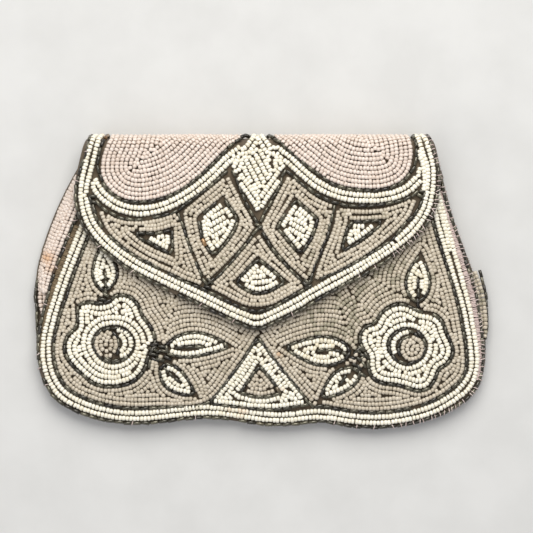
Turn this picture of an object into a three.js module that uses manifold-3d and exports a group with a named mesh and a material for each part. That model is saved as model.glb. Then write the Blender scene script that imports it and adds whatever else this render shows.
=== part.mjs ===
// A small envelope clutch covered in beads, lying on its back: a back panel that folds over into a
// pointed flap, a front panel, two side gussets, and the fields of beads and bugles sewn on them.
// Millimetres, +Z up (out of the front), +Y towards the fold. The origin is at the middle of the
// bounding box's underside.

import * as THREE from "three";
import { mergeVertices } from "three/addons/utils/BufferGeometryUtils.js";
import Module from "manifold-3d";

const wasm = await Module();
wasm.setup();

// Overall sizes
const purseWidth = 190;
const purseHeight = 124.4;

// Walls, bead layers and clearances
const clothWall = 1.2;
const beadLayer = 1.8;
const gap = 0.3;
const flapEase = 0.5;

// Widths of the rows that follow an edge
const bugleRow = 1.3;
const bugleGroove = 1.9;
const ivoryRow = 2.35;
const borderWidth = 2 * ivoryRow;
const swagWidth = 2 * ivoryRow;
const stitchRoom = 2.0;

// The pocket: its height at the seam, in the middle and at the mouth, and how far the swell reaches
const seamHeight = 0.4;
const crownHeight = 6.4;
const mouthHeight = 6.0;
const crownReach = 34;
const mouthDepth = 12;
const gussetLength = 76;
const gussetBow = 0.8;

// The fold at the top and the flap's hanging sides
const foldReach = 6.6;
const flapDroop = 1.0;
const sideSpread = 9.0;

// The hidden snap under the flap's point
const snapDiameter = 7;
const snapInset = 10;

// Half the width of the widest leaf
const leafHalfWidth = 5;

// Shares: where the gussets end, of the height; where a leaf's outline and its vein start and how far
// the vein runs, of its length; how full a leaf is near its stem; how wide a leaf's vein is, of a groove
const leftGussetShare = 0.43;
const rightGussetShare = 0.5;
const leafStartShare = 0.04;
const veinStartShare = -0.1;
const veinShare = 0.62;
const leafFullness = 0.8;
const veinWidthShare = 0.5;

// Facet sizes and counts, and the sharpest corner that an offset line follows fully
const outlineStep = 9;
const figureStep = 4.5;
const flatness = 0.01;
const mergeDistance = 0.0001;
const panelStep = 14;
const foldSteps = 6;
const gussetSteps = 5;
const leafSteps = 7;
const snapSides = 16;
const cornerLimit = 0.5;

// The front border's middle line from the mouth's left end round the bottom to its right end.
// x is a share of half the width, y a share of the height, stitch a share of stitchRoom (bare
// thread outside the border) and back a share of sideSpread (how far the back panel shows).
const borderLine = {
  columns: ["x", "y", "stitch", "back"],
  rows: [
    [-0.657, 0.906, 0.6, 0.78],
    [-0.749, 0.734, 0.7, 1.0],
    [-0.816, 0.615, 0.75, 0.95],
    [-0.878, 0.491, 0.7, 0.76],
    [-0.926, 0.376, 0.1, 0.34],
    [-0.951, 0.285, 0, 0.06],
    [-0.939, 0.197, 0, 0.04],
    [-0.886, 0.123, 0, 0.02],
    [-0.785, 0.079, 0, 0],
    [-0.652, 0.051, 0, 0],
    [-0.511, 0.046, 0, 0],
    [-0.374, 0.057, 0, 0],
    [-0.245, 0.066, 0, 0],
    [-0.108, 0.057, 0, 0],
    [0.024, 0.042, 0, 0],
    [0.153, 0.042, 0, 0],
    [0.263, 0.053, 0, 0],
    [0.378, 0.039, 0, 0],
    [0.511, 0.031, 0, 0],
    [0.643, 0.042, 0, 0],
    [0.763, 0.068, 0.1, 0.02],
    [0.864, 0.113, 0.4, 0.04],
    [0.931, 0.163, 0.1, 0.05],
    [0.946, 0.227, 0.2, 0.08],
    [0.931, 0.332, 0.6, 0.15],
    [0.895, 0.46, 1.0, 0.15],
    [0.838, 0.595, 1.0, 0.1],
    [0.789, 0.724, 0.6, 0.1],
    [0.736, 0.906, 0.2, 0.1],
  ],
};

// Closed outlines on the flap, read from the front. A row with corner 1 is a sharp corner, and the
// others are points on a smooth curve.
const outlineColumns = ["x", "y", "corner"];
const flapPoint = { x: -0.011, y: 0.334 };
const foldEnds = {
  columns: outlineColumns,
  rows: [
    [0.762, 0.955, 1],
    [0.7, 1.06, 1],
    [-0.73, 1.06, 1],
    [-0.767, 0.955, 1],
  ],
};
const flapEdge = {
  columns: outlineColumns,
  rows: [
    ...foldEnds.rows,
    [-0.78, 0.919],
    [-0.811, 0.862],
    [-0.821, 0.808],
    [-0.818, 0.761],
    [-0.798, 0.703],
    [-0.763, 0.654],
    [-0.696, 0.6],
    [-0.599, 0.543],
    [-0.444, 0.48],
    [-0.267, 0.416],
    [-0.113, 0.359],
    [flapPoint.x, flapPoint.y, 1],
    [0.13, 0.379],
    [0.307, 0.457],
    [0.493, 0.534],
    [0.626, 0.604],
    [0.723, 0.676],
    [0.767, 0.734],
    [0.785, 0.788],
    [0.791, 0.859],
    [0.783, 0.926],
  ],
};
const scallopLeft = {
  columns: outlineColumns,
  rows: [
    [-0.655, 1.06, 1],
    [-0.66, 0.985],
    [-0.69, 0.926],
    [-0.7, 0.875],
    [-0.67, 0.823],
    [-0.608, 0.784],
    [-0.519, 0.775],
    [-0.431, 0.79],
    [-0.329, 0.826],
    [-0.237, 0.889],
    [-0.153, 0.953],
    [-0.091, 0.989],
    [-0.06, 1.06, 1],
  ],
};
const scallopRight = {
  columns: outlineColumns,
  rows: [
    [0.045, 1.06, 1],
    [0.073, 0.989],
    [0.135, 0.946],
    [0.219, 0.887],
    [0.312, 0.84],
    [0.405, 0.82],
    [0.502, 0.817],
    [0.586, 0.828],
    [0.64, 0.86],
    [0.663, 0.906],
    [0.66, 0.953],
    [0.642, 0.989],
    [0.63, 1.06, 1],
  ],
};

// Middle lines of the two swags and of the single row that runs on beside the right border, and
// the peak between the swags
const lineColumns = ["x", "y"];
const swagLineLeft = {
  columns: lineColumns,
  rows: [
    [-0.75, 0.855],
    [-0.722, 0.815],
    [-0.674, 0.774],
    [-0.599, 0.745],
    [-0.502, 0.737],
    [-0.413, 0.756],
    [-0.321, 0.791],
    [-0.228, 0.847],
    [-0.144, 0.91],
    [-0.07, 0.955],
  ],
};
const swagLineRight = {
  columns: lineColumns,
  rows: [
    [0.05, 0.955],
    [0.13, 0.906],
    [0.223, 0.842],
    [0.316, 0.8],
    [0.44, 0.781],
    [0.564, 0.786],
    [0.648, 0.811],
    [0.705, 0.855],
  ],
};
const swagTail = {
  columns: lineColumns,
  rows: [
    [0.69, 0.845],
    [0.708, 0.88],
    [0.708, 0.92],
    [0.69, 1.0],
    [0.68, 1.06],
  ],
};
const peak = {
  columns: outlineColumns,
  rows: [
    [-0.038, 1.06, 1],
    [-0.042, 0.995, 1],
    [-0.144, 0.87, 1],
    [-0.06, 0.784],
    [-0.007, 0.72, 1],
    [0.046, 0.784],
    [0.126, 0.87, 1],
    [0.02, 0.995, 1],
    [0.018, 1.06, 1],
  ],
};

// The cells of the flap's lattice and the ivory figures set in them
const cells = {
  left_side: {
    columns: outlineColumns,
    rows: [
      [-0.714, 0.747, 1],
      [-0.661, 0.717],
      [-0.586, 0.701],
      [-0.489, 0.703],
      [-0.365, 0.729, 1],
      [-0.347, 0.68],
      [-0.312, 0.605],
      [-0.25, 0.485, 1],
      [-0.338, 0.511],
      [-0.444, 0.55],
      [-0.546, 0.59],
      [-0.626, 0.636],
      [-0.683, 0.685],
    ],
  },
  left: {
    columns: outlineColumns,
    rows: [
      [-0.34, 0.734, 1],
      [-0.25, 0.789],
      [-0.144, 0.857, 1],
      [-0.113, 0.811],
      [-0.069, 0.744],
      [-0.024, 0.685, 1],
      [-0.077, 0.627],
      [-0.153, 0.563],
      [-0.237, 0.502, 1],
      [-0.285, 0.588],
      [-0.321, 0.663],
    ],
  },
  right: {
    columns: outlineColumns,
    rows: [
      [0.126, 0.857, 1],
      [0.197, 0.808],
      [0.254, 0.776],
      [0.321, 0.754, 1],
      [0.307, 0.686],
      [0.259, 0.599],
      [0.21, 0.501, 1],
      [0.135, 0.551],
      [0.064, 0.614],
      [0.004, 0.685, 1],
      [0.051, 0.751],
      [0.091, 0.811],
    ],
  },
  right_side: {
    columns: outlineColumns,
    rows: [
      [0.34, 0.745, 1],
      [0.449, 0.739],
      [0.564, 0.747],
      [0.69, 0.785, 1],
      [0.672, 0.74],
      [0.604, 0.68],
      [0.505, 0.614],
      [0.374, 0.553],
      [0.237, 0.497, 1],
      [0.272, 0.585],
      [0.316, 0.663],
    ],
  },
  bottom: {
    columns: outlineColumns,
    rows: [
      [-0.011, 0.661, 1],
      [0.06, 0.585],
      [0.122, 0.536],
      [0.195, 0.485, 1],
      [0.113, 0.448],
      [0.007, 0.415],
      [-0.038, 0.415],
      [-0.139, 0.449],
      [-0.225, 0.482, 1],
      [-0.144, 0.541],
      [-0.073, 0.605],
    ],
  },
};
const figures = {
  kite_left: {
    cell: "left",
    columns: outlineColumns,
    rows: [
      [-0.166, 0.771, 1],
      [-0.108, 0.708, 1],
      [-0.13, 0.666],
      [-0.206, 0.594, 1],
      [-0.245, 0.639],
      [-0.263, 0.712, 1],
    ],
  },
  kite_right: {
    cell: "right",
    columns: outlineColumns,
    rows: [
      [0.153, 0.767, 1],
      [0.241, 0.708, 1],
      [0.219, 0.653],
      [0.175, 0.6, 1],
      [0.13, 0.642],
      [0.084, 0.683, 1],
    ],
  },
  fan: {
    cell: "bottom",
    columns: outlineColumns,
    rows: [
      [-0.011, 0.568, 1],
      [0.097, 0.499, 1],
      [0.051, 0.479],
      [0.007, 0.467],
      [-0.038, 0.469],
      [-0.097, 0.499, 1],
    ],
  },
  triangle_left: {
    cell: "left_side",
    columns: outlineColumns,
    rows: [
      [-0.546, 0.66, 1],
      [-0.471, 0.653],
      [-0.4, 0.667, 1],
      [-0.396, 0.6, 1],
      [-0.462, 0.622],
    ],
  },
  triangle_right: {
    cell: "right_side",
    columns: outlineColumns,
    rows: [
      [0.4, 0.693, 1],
      [0.462, 0.692],
      [0.53, 0.7, 1],
      [0.453, 0.651],
      [0.365, 0.61, 1],
      [0.382, 0.649],
    ],
  },
};

// The two flowers: petals outside, an eye cut through, a disc and a crescent set in the eye
const flowers = {
  left: {
    petals: {
      columns: outlineColumns,
      rows: [
        [-0.802, 0.41],
        [-0.767, 0.422],
        [-0.71, 0.417],
        [-0.665, 0.425],
        [-0.648, 0.441],
        [-0.603, 0.447],
        [-0.559, 0.428],
        [-0.533, 0.383],
        [-0.497, 0.345],
        [-0.473, 0.298],
        [-0.502, 0.258],
        [-0.517, 0.214],
        [-0.564, 0.171],
        [-0.652, 0.152],
        [-0.732, 0.16],
        [-0.785, 0.195],
        [-0.842, 0.236],
        [-0.858, 0.274],
        [-0.838, 0.317],
        [-0.8, 0.345],
      ],
    },
    eye: {
      columns: outlineColumns,
      rows: [
        [-0.648, 0.352],
        [-0.586, 0.34],
        [-0.55, 0.291],
        [-0.577, 0.244],
        [-0.648, 0.219],
        [-0.71, 0.236],
        [-0.748, 0.291],
        [-0.714, 0.34],
      ],
    },
    disc: {
      columns: outlineColumns,
      rows: [
        [-0.683, 0.334],
        [-0.648, 0.322],
        [-0.634, 0.291],
        [-0.641, 0.261],
        [-0.67, 0.243],
        [-0.71, 0.25],
        [-0.729, 0.281],
        [-0.72, 0.316],
      ],
    },
    crescent: {
      columns: outlineColumns,
      rows: [
        [-0.632, 0.336, 1],
        [-0.598, 0.333],
        [-0.568, 0.307],
        [-0.568, 0.278],
        [-0.588, 0.251],
        [-0.625, 0.237, 1],
        [-0.613, 0.268],
        [-0.61, 0.303],
      ],
    },
  },
  right: {
    petals: {
      columns: outlineColumns,
      rows: [
        [0.515, 0.35],
        [0.537, 0.384],
        [0.577, 0.408],
        [0.626, 0.417],
        [0.674, 0.403],
        [0.705, 0.39],
        [0.754, 0.384],
        [0.794, 0.362],
        [0.811, 0.322],
        [0.842, 0.268],
        [0.82, 0.227],
        [0.769, 0.199],
        [0.76, 0.163],
        [0.714, 0.137],
        [0.652, 0.148],
        [0.586, 0.16],
        [0.519, 0.168],
        [0.484, 0.21],
        [0.486, 0.244],
        [0.458, 0.278],
        [0.447, 0.313],
        [0.471, 0.344],
      ],
    },
    eye: {
      columns: outlineColumns,
      rows: [
        [0.648, 0.346],
        [0.705, 0.33],
        [0.74, 0.286],
        [0.722, 0.242],
        [0.657, 0.214],
        [0.592, 0.232],
        [0.555, 0.281],
        [0.58, 0.326],
      ],
    },
    disc: {
      columns: outlineColumns,
      rows: [
        [0.67, 0.315],
        [0.705, 0.303],
        [0.721, 0.274],
        [0.704, 0.244],
        [0.668, 0.23],
        [0.635, 0.245],
        [0.623, 0.275],
        [0.637, 0.304],
      ],
    },
    crescent: {
      columns: outlineColumns,
      rows: [
        [0.65, 0.336, 1],
        [0.603, 0.328],
        [0.573, 0.298],
        [0.579, 0.262],
        [0.612, 0.236, 1],
        [0.6, 0.275],
        [0.613, 0.31],
      ],
    },
  },
};

// Leaves: where the stem end and the tip lie, and half the width and the sideways bow as shares of
// leafHalfWidth
const leaves = {
  columns: ["name", "stemX", "stemY", "tipX", "tipY", "width", "bow"],
  rows: [
    ["leaf_left_top", -0.687, 0.47, -0.7, 0.61, 0.84, -0.12],
    ["leaf_left_side", -0.42, 0.27, -0.15, 0.282, 0.82, 0.28],
    ["leaf_left_low", -0.435, 0.216, -0.3, 0.122, 0.72, -0.2],
    ["leaf_right_top", 0.695, 0.433, 0.705, 0.578, 0.82, 0.08],
    ["leaf_right_side", 0.4, 0.262, 0.122, 0.275, 1, 0.08],
    ["leaf_right_low", 0.438, 0.2, 0.278, 0.112, 0.72, -0.16],
  ],
};

// The three-cornered figure at the bottom of the front
const bottomTriangle = {
  columns: outlineColumns,
  rows: [
    [-0.011, 0.298, 1],
    [-0.069, 0.231],
    [-0.135, 0.166],
    [-0.219, 0.094, 1],
    [-0.166, 0.09],
    [-0.08, 0.086],
    [0.007, 0.074],
    [0.12, 0.082],
    [0.206, 0.09, 1],
    [0.13, 0.153],
    [0.06, 0.22],
  ],
};
const bottomTriangleHole = {
  columns: outlineColumns,
  rows: [
    [-0.011, 0.232, 1],
    [-0.055, 0.175],
    [-0.11, 0.118, 1],
    [-0.06, 0.109],
    [0.007, 0.101],
    [0.05, 0.107],
    [0.108, 0.117, 1],
    [0.051, 0.177],
  ],
};

// Reads a table's rows as objects with its named columns
function readTable(table) {
  return table.rows.map((row) => Object.fromEntries(table.columns.map((name, i) => [name, row[i] ?? 0])));
}

function place(row) {
  return new THREE.Vector2((row.x * purseWidth) / 2, (row.y - 0.5) * purseHeight);
}

function runCurve(points) {
  if (points.length === 2) {
    return new THREE.LineCurve(points[0], points[1]);
  }
  const lifted = points.map((p) => new THREE.Vector3(p.x, p.y, 0));
  return new THREE.CatmullRomCurve3(lifted, false, "centripetal");
}

function sampleCurve(curve, step) {
  const count = Math.max(2, Math.round(curve.getLength() / step));
  return curve.getSpacedPoints(count).map((p) => new THREE.Vector2(p.x, p.y));
}

// A closed outline: smooth through its rows, and sharp at the rows marked as corners
function closedOutline(table, step = outlineStep) {
  const rows = readTable(table);
  const points = rows.map(place);
  const corners = rows.map((row, i) => (row.corner ? i : -1)).filter((i) => i >= 0);
  if (corners.length === 0) {
    const lifted = points.map((p) => new THREE.Vector3(p.x, p.y, 0));
    const loop = new THREE.CatmullRomCurve3(lifted, true, "centripetal");
    return counterClockwise(sampleCurve(loop, step).slice(0, -1));
  }
  const outline = [];
  corners.forEach((start, k) => {
    const end = corners[(k + 1) % corners.length];
    const span = (end - start + points.length) % points.length;
    const run = Array.from({ length: span + 1 }, (_, i) => points[(start + i) % points.length]);
    outline.push(...sampleCurve(runCurve(run), step).slice(0, -1));
  });
  return counterClockwise(outline);
}

function counterClockwise(outline) {
  return THREE.ShapeUtils.area(outline) < 0 ? outline.reverse() : outline;
}

// The outward side of an open or closed run of points at each point
function outwardNormals(points, closed) {
  const last = points.length - 1;
  return points.map((p, i) => {
    const before = closed ? points[(i + last) % (last + 1)] : points[Math.max(0, i - 1)];
    const after = closed ? points[(i + 1) % (last + 1)] : points[Math.min(last, i + 1)];
    const a = p.clone().sub(before);
    const b = after.clone().sub(p);
    const first = a.length() > 0 ? a.normalize() : b.clone().normalize();
    const second = b.length() > 0 ? b.normalize() : first.clone();
    const normal = new THREE.Vector2(first.y + second.y, -first.x - second.x).normalize();
    const stretch = Math.max(cornerLimit, normal.x * first.y - normal.y * first.x);
    return normal.divideScalar(stretch);
  });
}

function outlineDistance(x, y, outline) {
  return outline.reduce((least, a, i) => {
    const b = outline[(i + 1) % outline.length];
    return Math.min(least, segmentDistance(x, y, a, b));
  }, Infinity);
}

// Moves each point of a closed outline outwards by an amount, inwards where it is negative, and
// leaves out the points that a tight bend brings back too near
function grow(outline, amount) {
  const normals = outwardNormals(outline, true);
  return outline
    .map((p, i) => p.clone().addScaledVector(normals[i], amount))
    .filter((p) => outlineDistance(p.x, p.y, outline) > Math.abs(amount) - flatness);
}

// A band of one width along a line
function bandOutline(table, bandWidth) {
  const line = sampleCurve(runCurve(readTable(table).map(place)), outlineStep);
  const normals = outwardNormals(line, false);
  const right = line.map((p, i) => p.clone().addScaledVector(normals[i], bandWidth / 2));
  const left = line.map((p, i) => p.clone().addScaledVector(normals[i], -bandWidth / 2));
  return counterClockwise([...right, ...left.reverse()]);
}

// The ways along a leaf where its outline has a point, with the leaf's bent middle line
function leafMiddle(leaf, start, end) {
  const stem = place({ x: leaf.stemX, y: leaf.stemY });
  const along = place({ x: leaf.tipX, y: leaf.tipY }).sub(stem);
  const across = new THREE.Vector2(-along.y, along.x).normalize();
  return Array.from({ length: leafSteps + 1 }, (_, i) => {
    const way = start + ((end - start) * i) / leafSteps;
    const bend = leaf.bow * leafHalfWidth * Math.sin(Math.PI * way);
    return { way, across, point: stem.clone().addScaledVector(along, way).addScaledVector(across, bend) };
  });
}

// A leaf: half its width follows the sine of the way along it, fuller near the stem
function leafOutline(leaf) {
  const middle = leafMiddle(leaf, leafStartShare, 1);
  const side = ({ way, across, point }, hand) => {
    const half = leaf.width * leafHalfWidth * Math.sin(Math.PI * Math.pow(way, leafFullness));
    return point.clone().addScaledVector(across, hand * half);
  };
  const right = middle.map((spot) => side(spot, -1));
  const left = middle.slice(0, -1).map((spot) => side(spot, 1));
  return counterClockwise([...right, ...left.reverse()]);
}

// The slot along a leaf's middle that its vein of bugles lies in
function veinOutline(leaf) {
  const half = (veinWidthShare * bugleGroove) / 2;
  const middle = leafMiddle(leaf, veinStartShare, veinShare);
  const right = middle.map(({ across, point }) => point.clone().addScaledVector(across, -half));
  const left = middle.map(({ across, point }) => point.clone().addScaledVector(across, half));
  return counterClockwise([...right, ...left.reverse()]);
}

// The lines that the front border's middle line gives, from the mouth's left end to its right end
const borderRows = readTable(borderLine);
const borderMiddle = borderRows.map(place);

function lineAtDistance(distance) {
  const normals = outwardNormals(borderMiddle, false);
  const moved = borderMiddle.map((p, i) => p.clone().addScaledVector(normals[i], distance(borderRows[i])));
  return sampleCurve(runCurve(moved), outlineStep);
}

const borderToEdge = (row) => borderWidth / 2 + gap + row.stitch * stitchRoom + bugleRow;
const borderOutside = lineAtDistance(() => borderWidth / 2);
const borderInside = lineAtDistance(() => -borderWidth / 2);
const groundLine = lineAtDistance(() => -borderWidth / 2 - bugleGroove);
const frontBugleInside = lineAtDistance((row) => borderToEdge(row) - bugleRow);
const frontLine = lineAtDistance(borderToEdge);
const backLine = lineAtDistance((row) => borderToEdge(row) + row.back * sideSpread);

// Heights of the cloth's faces
const backOuter = beadLayer + gap;
const backInner = backOuter + clothWall;
const mouthY = purseHeight / 2 - mouthDepth;
const foldY = purseHeight / 2 - foldReach;
const foldMiddle = backInner + clothWall;
const skyHeight = 60;
const farUp = purseHeight;

// Closes a line that runs from the mouth's left end to its right end at a height y
function closeAtTop(line, y) {
  const first = line[0];
  const last = line[line.length - 1];
  const top = [new THREE.Vector2(last.x, y), new THREE.Vector2(first.x, y)];
  const under = line.filter((p) => p.y < y - gap);
  return counterClockwise([...under, ...top]);
}

function segmentDistance(x, y, a, b) {
  const along = ((x - a.x) * (b.x - a.x) + (y - a.y) * (b.y - a.y)) / a.distanceToSquared(b);
  const t = THREE.MathUtils.clamp(along, 0, 1);
  return Math.hypot(x - a.x - t * (b.x - a.x), y - a.y - t * (b.y - a.y));
}

function isInside(x, y, outline) {
  return outline.reduce((inside, a, i) => {
    const b = outline[(i + 1) % outline.length];
    const crosses = a.y > y !== b.y > y && x < ((b.x - a.x) * (y - a.y)) / (b.y - a.y) + a.x;
    return crosses ? !inside : inside;
  }, false);
}

// The front seam runs on straight up past the mouth, so that the flap above it has a height too
const seamLine = [
  new THREE.Vector2(frontLine[0].x, farUp),
  ...frontLine,
  new THREE.Vector2(frontLine[frontLine.length - 1].x, farUp),
];

// Distance from the front seam, positive inside and negative outside
function seamDepth(x, y) {
  let least = Infinity;
  for (let i = 0; i + 1 < seamLine.length; i += 1) {
    least = Math.min(least, segmentDistance(x, y, seamLine[i], seamLine[i + 1]));
  }
  return isInside(x, y, seamLine) ? least : -least;
}

// The pocket's height at the side seams: the gussets open it smoothly from their low end to the mouth
function seamRise(y) {
  const t = THREE.MathUtils.clamp((y - (mouthY - gussetLength)) / gussetLength, 0, 1);
  return seamHeight + (mouthHeight - seamHeight) * t * t * (3 - 2 * t);
}

// The front cloth's underside: it swells from the seams to the crown and stays level beyond
function frontUnder(x, y) {
  const depth = seamDepth(x, y);
  const swell = 1 - Math.pow(1 - THREE.MathUtils.clamp(depth / crownReach, 0, 1), 2);
  const rise = seamRise(y);
  return backInner + rise + (crownHeight - rise) * swell;
}

// The flap cloth's underside: it lies on the front's beads and droops past the front's sides
function flapUnder(x, y) {
  const outside = THREE.MathUtils.clamp(-seamDepth(x, y) / sideSpread, 0, 1);
  return frontUnder(x, y) + clothWall + gap + beadLayer + flapEase - flapDroop * outside * outside;
}

// Turns an indexed geometry into a solid for cutting
function toSolid(geometry) {
  const bare = new THREE.BufferGeometry();
  bare.setAttribute("position", geometry.getAttribute("position"));
  bare.setIndex(geometry.getIndex());
  const merged = mergeVertices(bare, mergeDistance);
  return new wasm.Manifold(
    new wasm.Mesh({
      numProp: 3,
      vertProperties: new Float32Array(merged.getAttribute("position").array),
      triVerts: new Uint32Array(merged.getIndex().array),
    }),
  );
}

function toGeometry(solid) {
  const mesh = solid.getMesh();
  const geometry = new THREE.BufferGeometry();
  geometry.setAttribute("position", new THREE.BufferAttribute(mesh.vertProperties, 3));
  geometry.setIndex(new THREE.BufferAttribute(mesh.triVerts, 1));
  geometry.computeVertexNormals();
  return geometry;
}

// A closed skin between two grids of points, the outer on the outward side
function gridGeometry(inner, outer) {
  const rows = inner.length;
  const columns = inner[0].length;
  const positions = [...inner.flat(), ...outer.flat()].flatMap((p) => [p.x, p.y, p.z]);
  const at = (layer, i, j) => layer * rows * columns + i * columns + j;
  const index = [];
  const quad = (a, b, c, d) => index.push(a, c, b, a, d, c);
  for (let i = 0; i + 1 < rows; i += 1) {
    for (let j = 0; j + 1 < columns; j += 1) {
      quad(at(1, i, j), at(1, i + 1, j), at(1, i + 1, j + 1), at(1, i, j + 1));
      quad(at(0, i, j), at(0, i, j + 1), at(0, i + 1, j + 1), at(0, i + 1, j));
    }
  }
  for (let i = 0; i + 1 < rows; i += 1) {
    quad(at(0, i, 0), at(0, i + 1, 0), at(1, i + 1, 0), at(1, i, 0));
    quad(at(0, i + 1, columns - 1), at(0, i, columns - 1), at(1, i, columns - 1), at(1, i + 1, columns - 1));
  }
  for (let j = 0; j + 1 < columns; j += 1) {
    quad(at(0, 0, j + 1), at(0, 0, j), at(1, 0, j), at(1, 0, j + 1));
    quad(at(0, rows - 1, j), at(0, rows - 1, j + 1), at(1, rows - 1, j + 1), at(1, rows - 1, j));
  }
  const geometry = new THREE.BufferGeometry();
  geometry.setAttribute("position", new THREE.Float32BufferAttribute(positions, 3));
  geometry.setIndex(index);
  return geometry;
}

function evenSteps(low, high, step) {
  const count = Math.max(1, Math.round((high - low) / step));
  return Array.from({ length: count + 1 }, (_, i) => low + ((high - low) * i) / count);
}

// The panels share one grid, so that their facets run side by side
const panelColumns = evenSteps(-purseWidth / 2 - panelStep, purseWidth / 2 + panelStep, panelStep);
const panelRows = evenSteps(-purseHeight / 2 - panelStep, foldY, panelStep);

// The front panel's layer between two heights above its cloth's underside
function frontLayer(low, high) {
  const grid = (lift) =>
    panelRows.map((y) => panelColumns.map((x) => new THREE.Vector3(x, y, frontUnder(x, y) + lift)));
  return toSolid(gridGeometry(grid(low), grid(high)));
}

// A point of the wrap, which runs along the back, round the fold and down the flap. side is how far
// it lies outside the cloth's outer face.
function wrapPoint(x, station, side) {
  if (station.part === "back") {
    return new THREE.Vector3(x, station.y, backOuter - side);
  }
  if (station.part === "flap") {
    return new THREE.Vector3(x, station.y, flapUnder(x, station.y) + clothWall + side);
  }
  const top = flapUnder(x, foldY) + clothWall;
  const middle = (top + backOuter) / 2;
  const reach = foldReach - backOuter + side;
  const rise = (top - backOuter) / 2 + side;
  return new THREE.Vector3(
    x,
    foldY + reach * Math.cos(station.angle),
    middle + rise * Math.sin(station.angle),
  );
}

const wrapStations = [
  { part: "back", y: panelRows[0] },
  { part: "back", y: foldY },
  ...evenSteps(-Math.PI / 2, Math.PI / 2, Math.PI / foldSteps)
    .slice(1, -1)
    .map((angle) => ({ part: "fold", angle })),
  ...panelRows
    .filter((y) => y > place(flapPoint).y - panelStep)
    .reverse()
    .map((y) => ({ part: "flap", y })),
];

function wrapLayer(low, high) {
  const grid = (side) =>
    wrapStations.map((station) => panelColumns.map((x) => wrapPoint(x, station, side)));
  return toSolid(gridGeometry(grid(high), grid(low)));
}

// Leaves out the points that lie on the straight line between their neighbours
function withoutStraightPoints(outline) {
  return outline.filter((p, i) => {
    const before = outline[(i + outline.length - 1) % outline.length];
    const after = outline[(i + 1) % outline.length];
    return segmentDistance(p.x, p.y, before, after) > flatness;
  });
}

function prism(outline, low, high) {
  const geometry = new THREE.ExtrudeGeometry(new THREE.Shape(withoutStraightPoints(outline)), {
    depth: high - low,
    bevelEnabled: false,
  });
  geometry.translate(0, 0, low);
  return toSolid(geometry);
}

// A tall block of an outline with holes through it, which cuts a piece out of a layer
function cutter(outline, holes = [], low = -skyHeight, high = skyHeight) {
  return holes.reduce(
    (block, hole) => block.subtract(prism(hole, low - gap, high + gap)),
    prism(outline, low, high),
  );
}

const wrapBeads = wrapLayer(gap, gap + beadLayer);
const frontBeads = frontLayer(clothWall + gap, clothWall + gap + beadLayer);

function onFlap(outline, holes = []) {
  return wrapBeads.intersect(cutter(outline, holes, foldMiddle + gap / 2, skyHeight));
}

function onBack(outline, holes = []) {
  return wrapBeads.intersect(cutter(outline, holes, -skyHeight, foldMiddle - gap / 2));
}

function onFront(outline, holes = []) {
  return frontBeads.intersect(cutter(outline, holes));
}

// Finishes: colour, roughness and metalness
const finishes = {
  cloth: { color: 0xb9a68a, roughness: 0.9, metalness: 0 },
  ivory: { color: 0xefead8, roughness: 0.45, metalness: 0 },
  grey: { color: 0xb9b2ac, roughness: 0.25, metalness: 0 },
  rose: { color: 0xd9c8c0, roughness: 0.25, metalness: 0 },
  bugle: { color: 0x1e1c14, roughness: 0.2, metalness: 0.7 },
  steel: { color: 0x8c8c88, roughness: 0.35, metalness: 1 },
};

const purse = new THREE.Group();

function addPiece(parent, name, solid, finish) {
  const material = new THREE.MeshStandardMaterial({ ...finishes[finish] });
  const mesh = new THREE.Mesh(toGeometry(solid), material);
  mesh.name = name;
  parent.add(mesh);
  return mesh;
}

// The back outline and the flap's meet between the fold's ends
const backOutline = counterClockwise([...backLine, ...readTable(foldEnds).map(place)]);
const flapOutline = closedOutline(flapEdge);

// The cloth that is the back, the fold and the flap in one
function buildWrap(parent) {
  const reach = prism(backOutline, -skyHeight, foldMiddle).add(
    prism(flapOutline, foldMiddle - gap, skyHeight),
  );
  addPiece(parent, "wrap_panel", wrapLayer(-clothWall, 0).intersect(reach), "cloth");
}

function buildFront(parent) {
  const outline = cutter(closeAtTop(frontLine, mouthY));
  addPiece(parent, "front_panel", frontLayer(0, clothWall).intersect(outline), "cloth");
}

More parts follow.
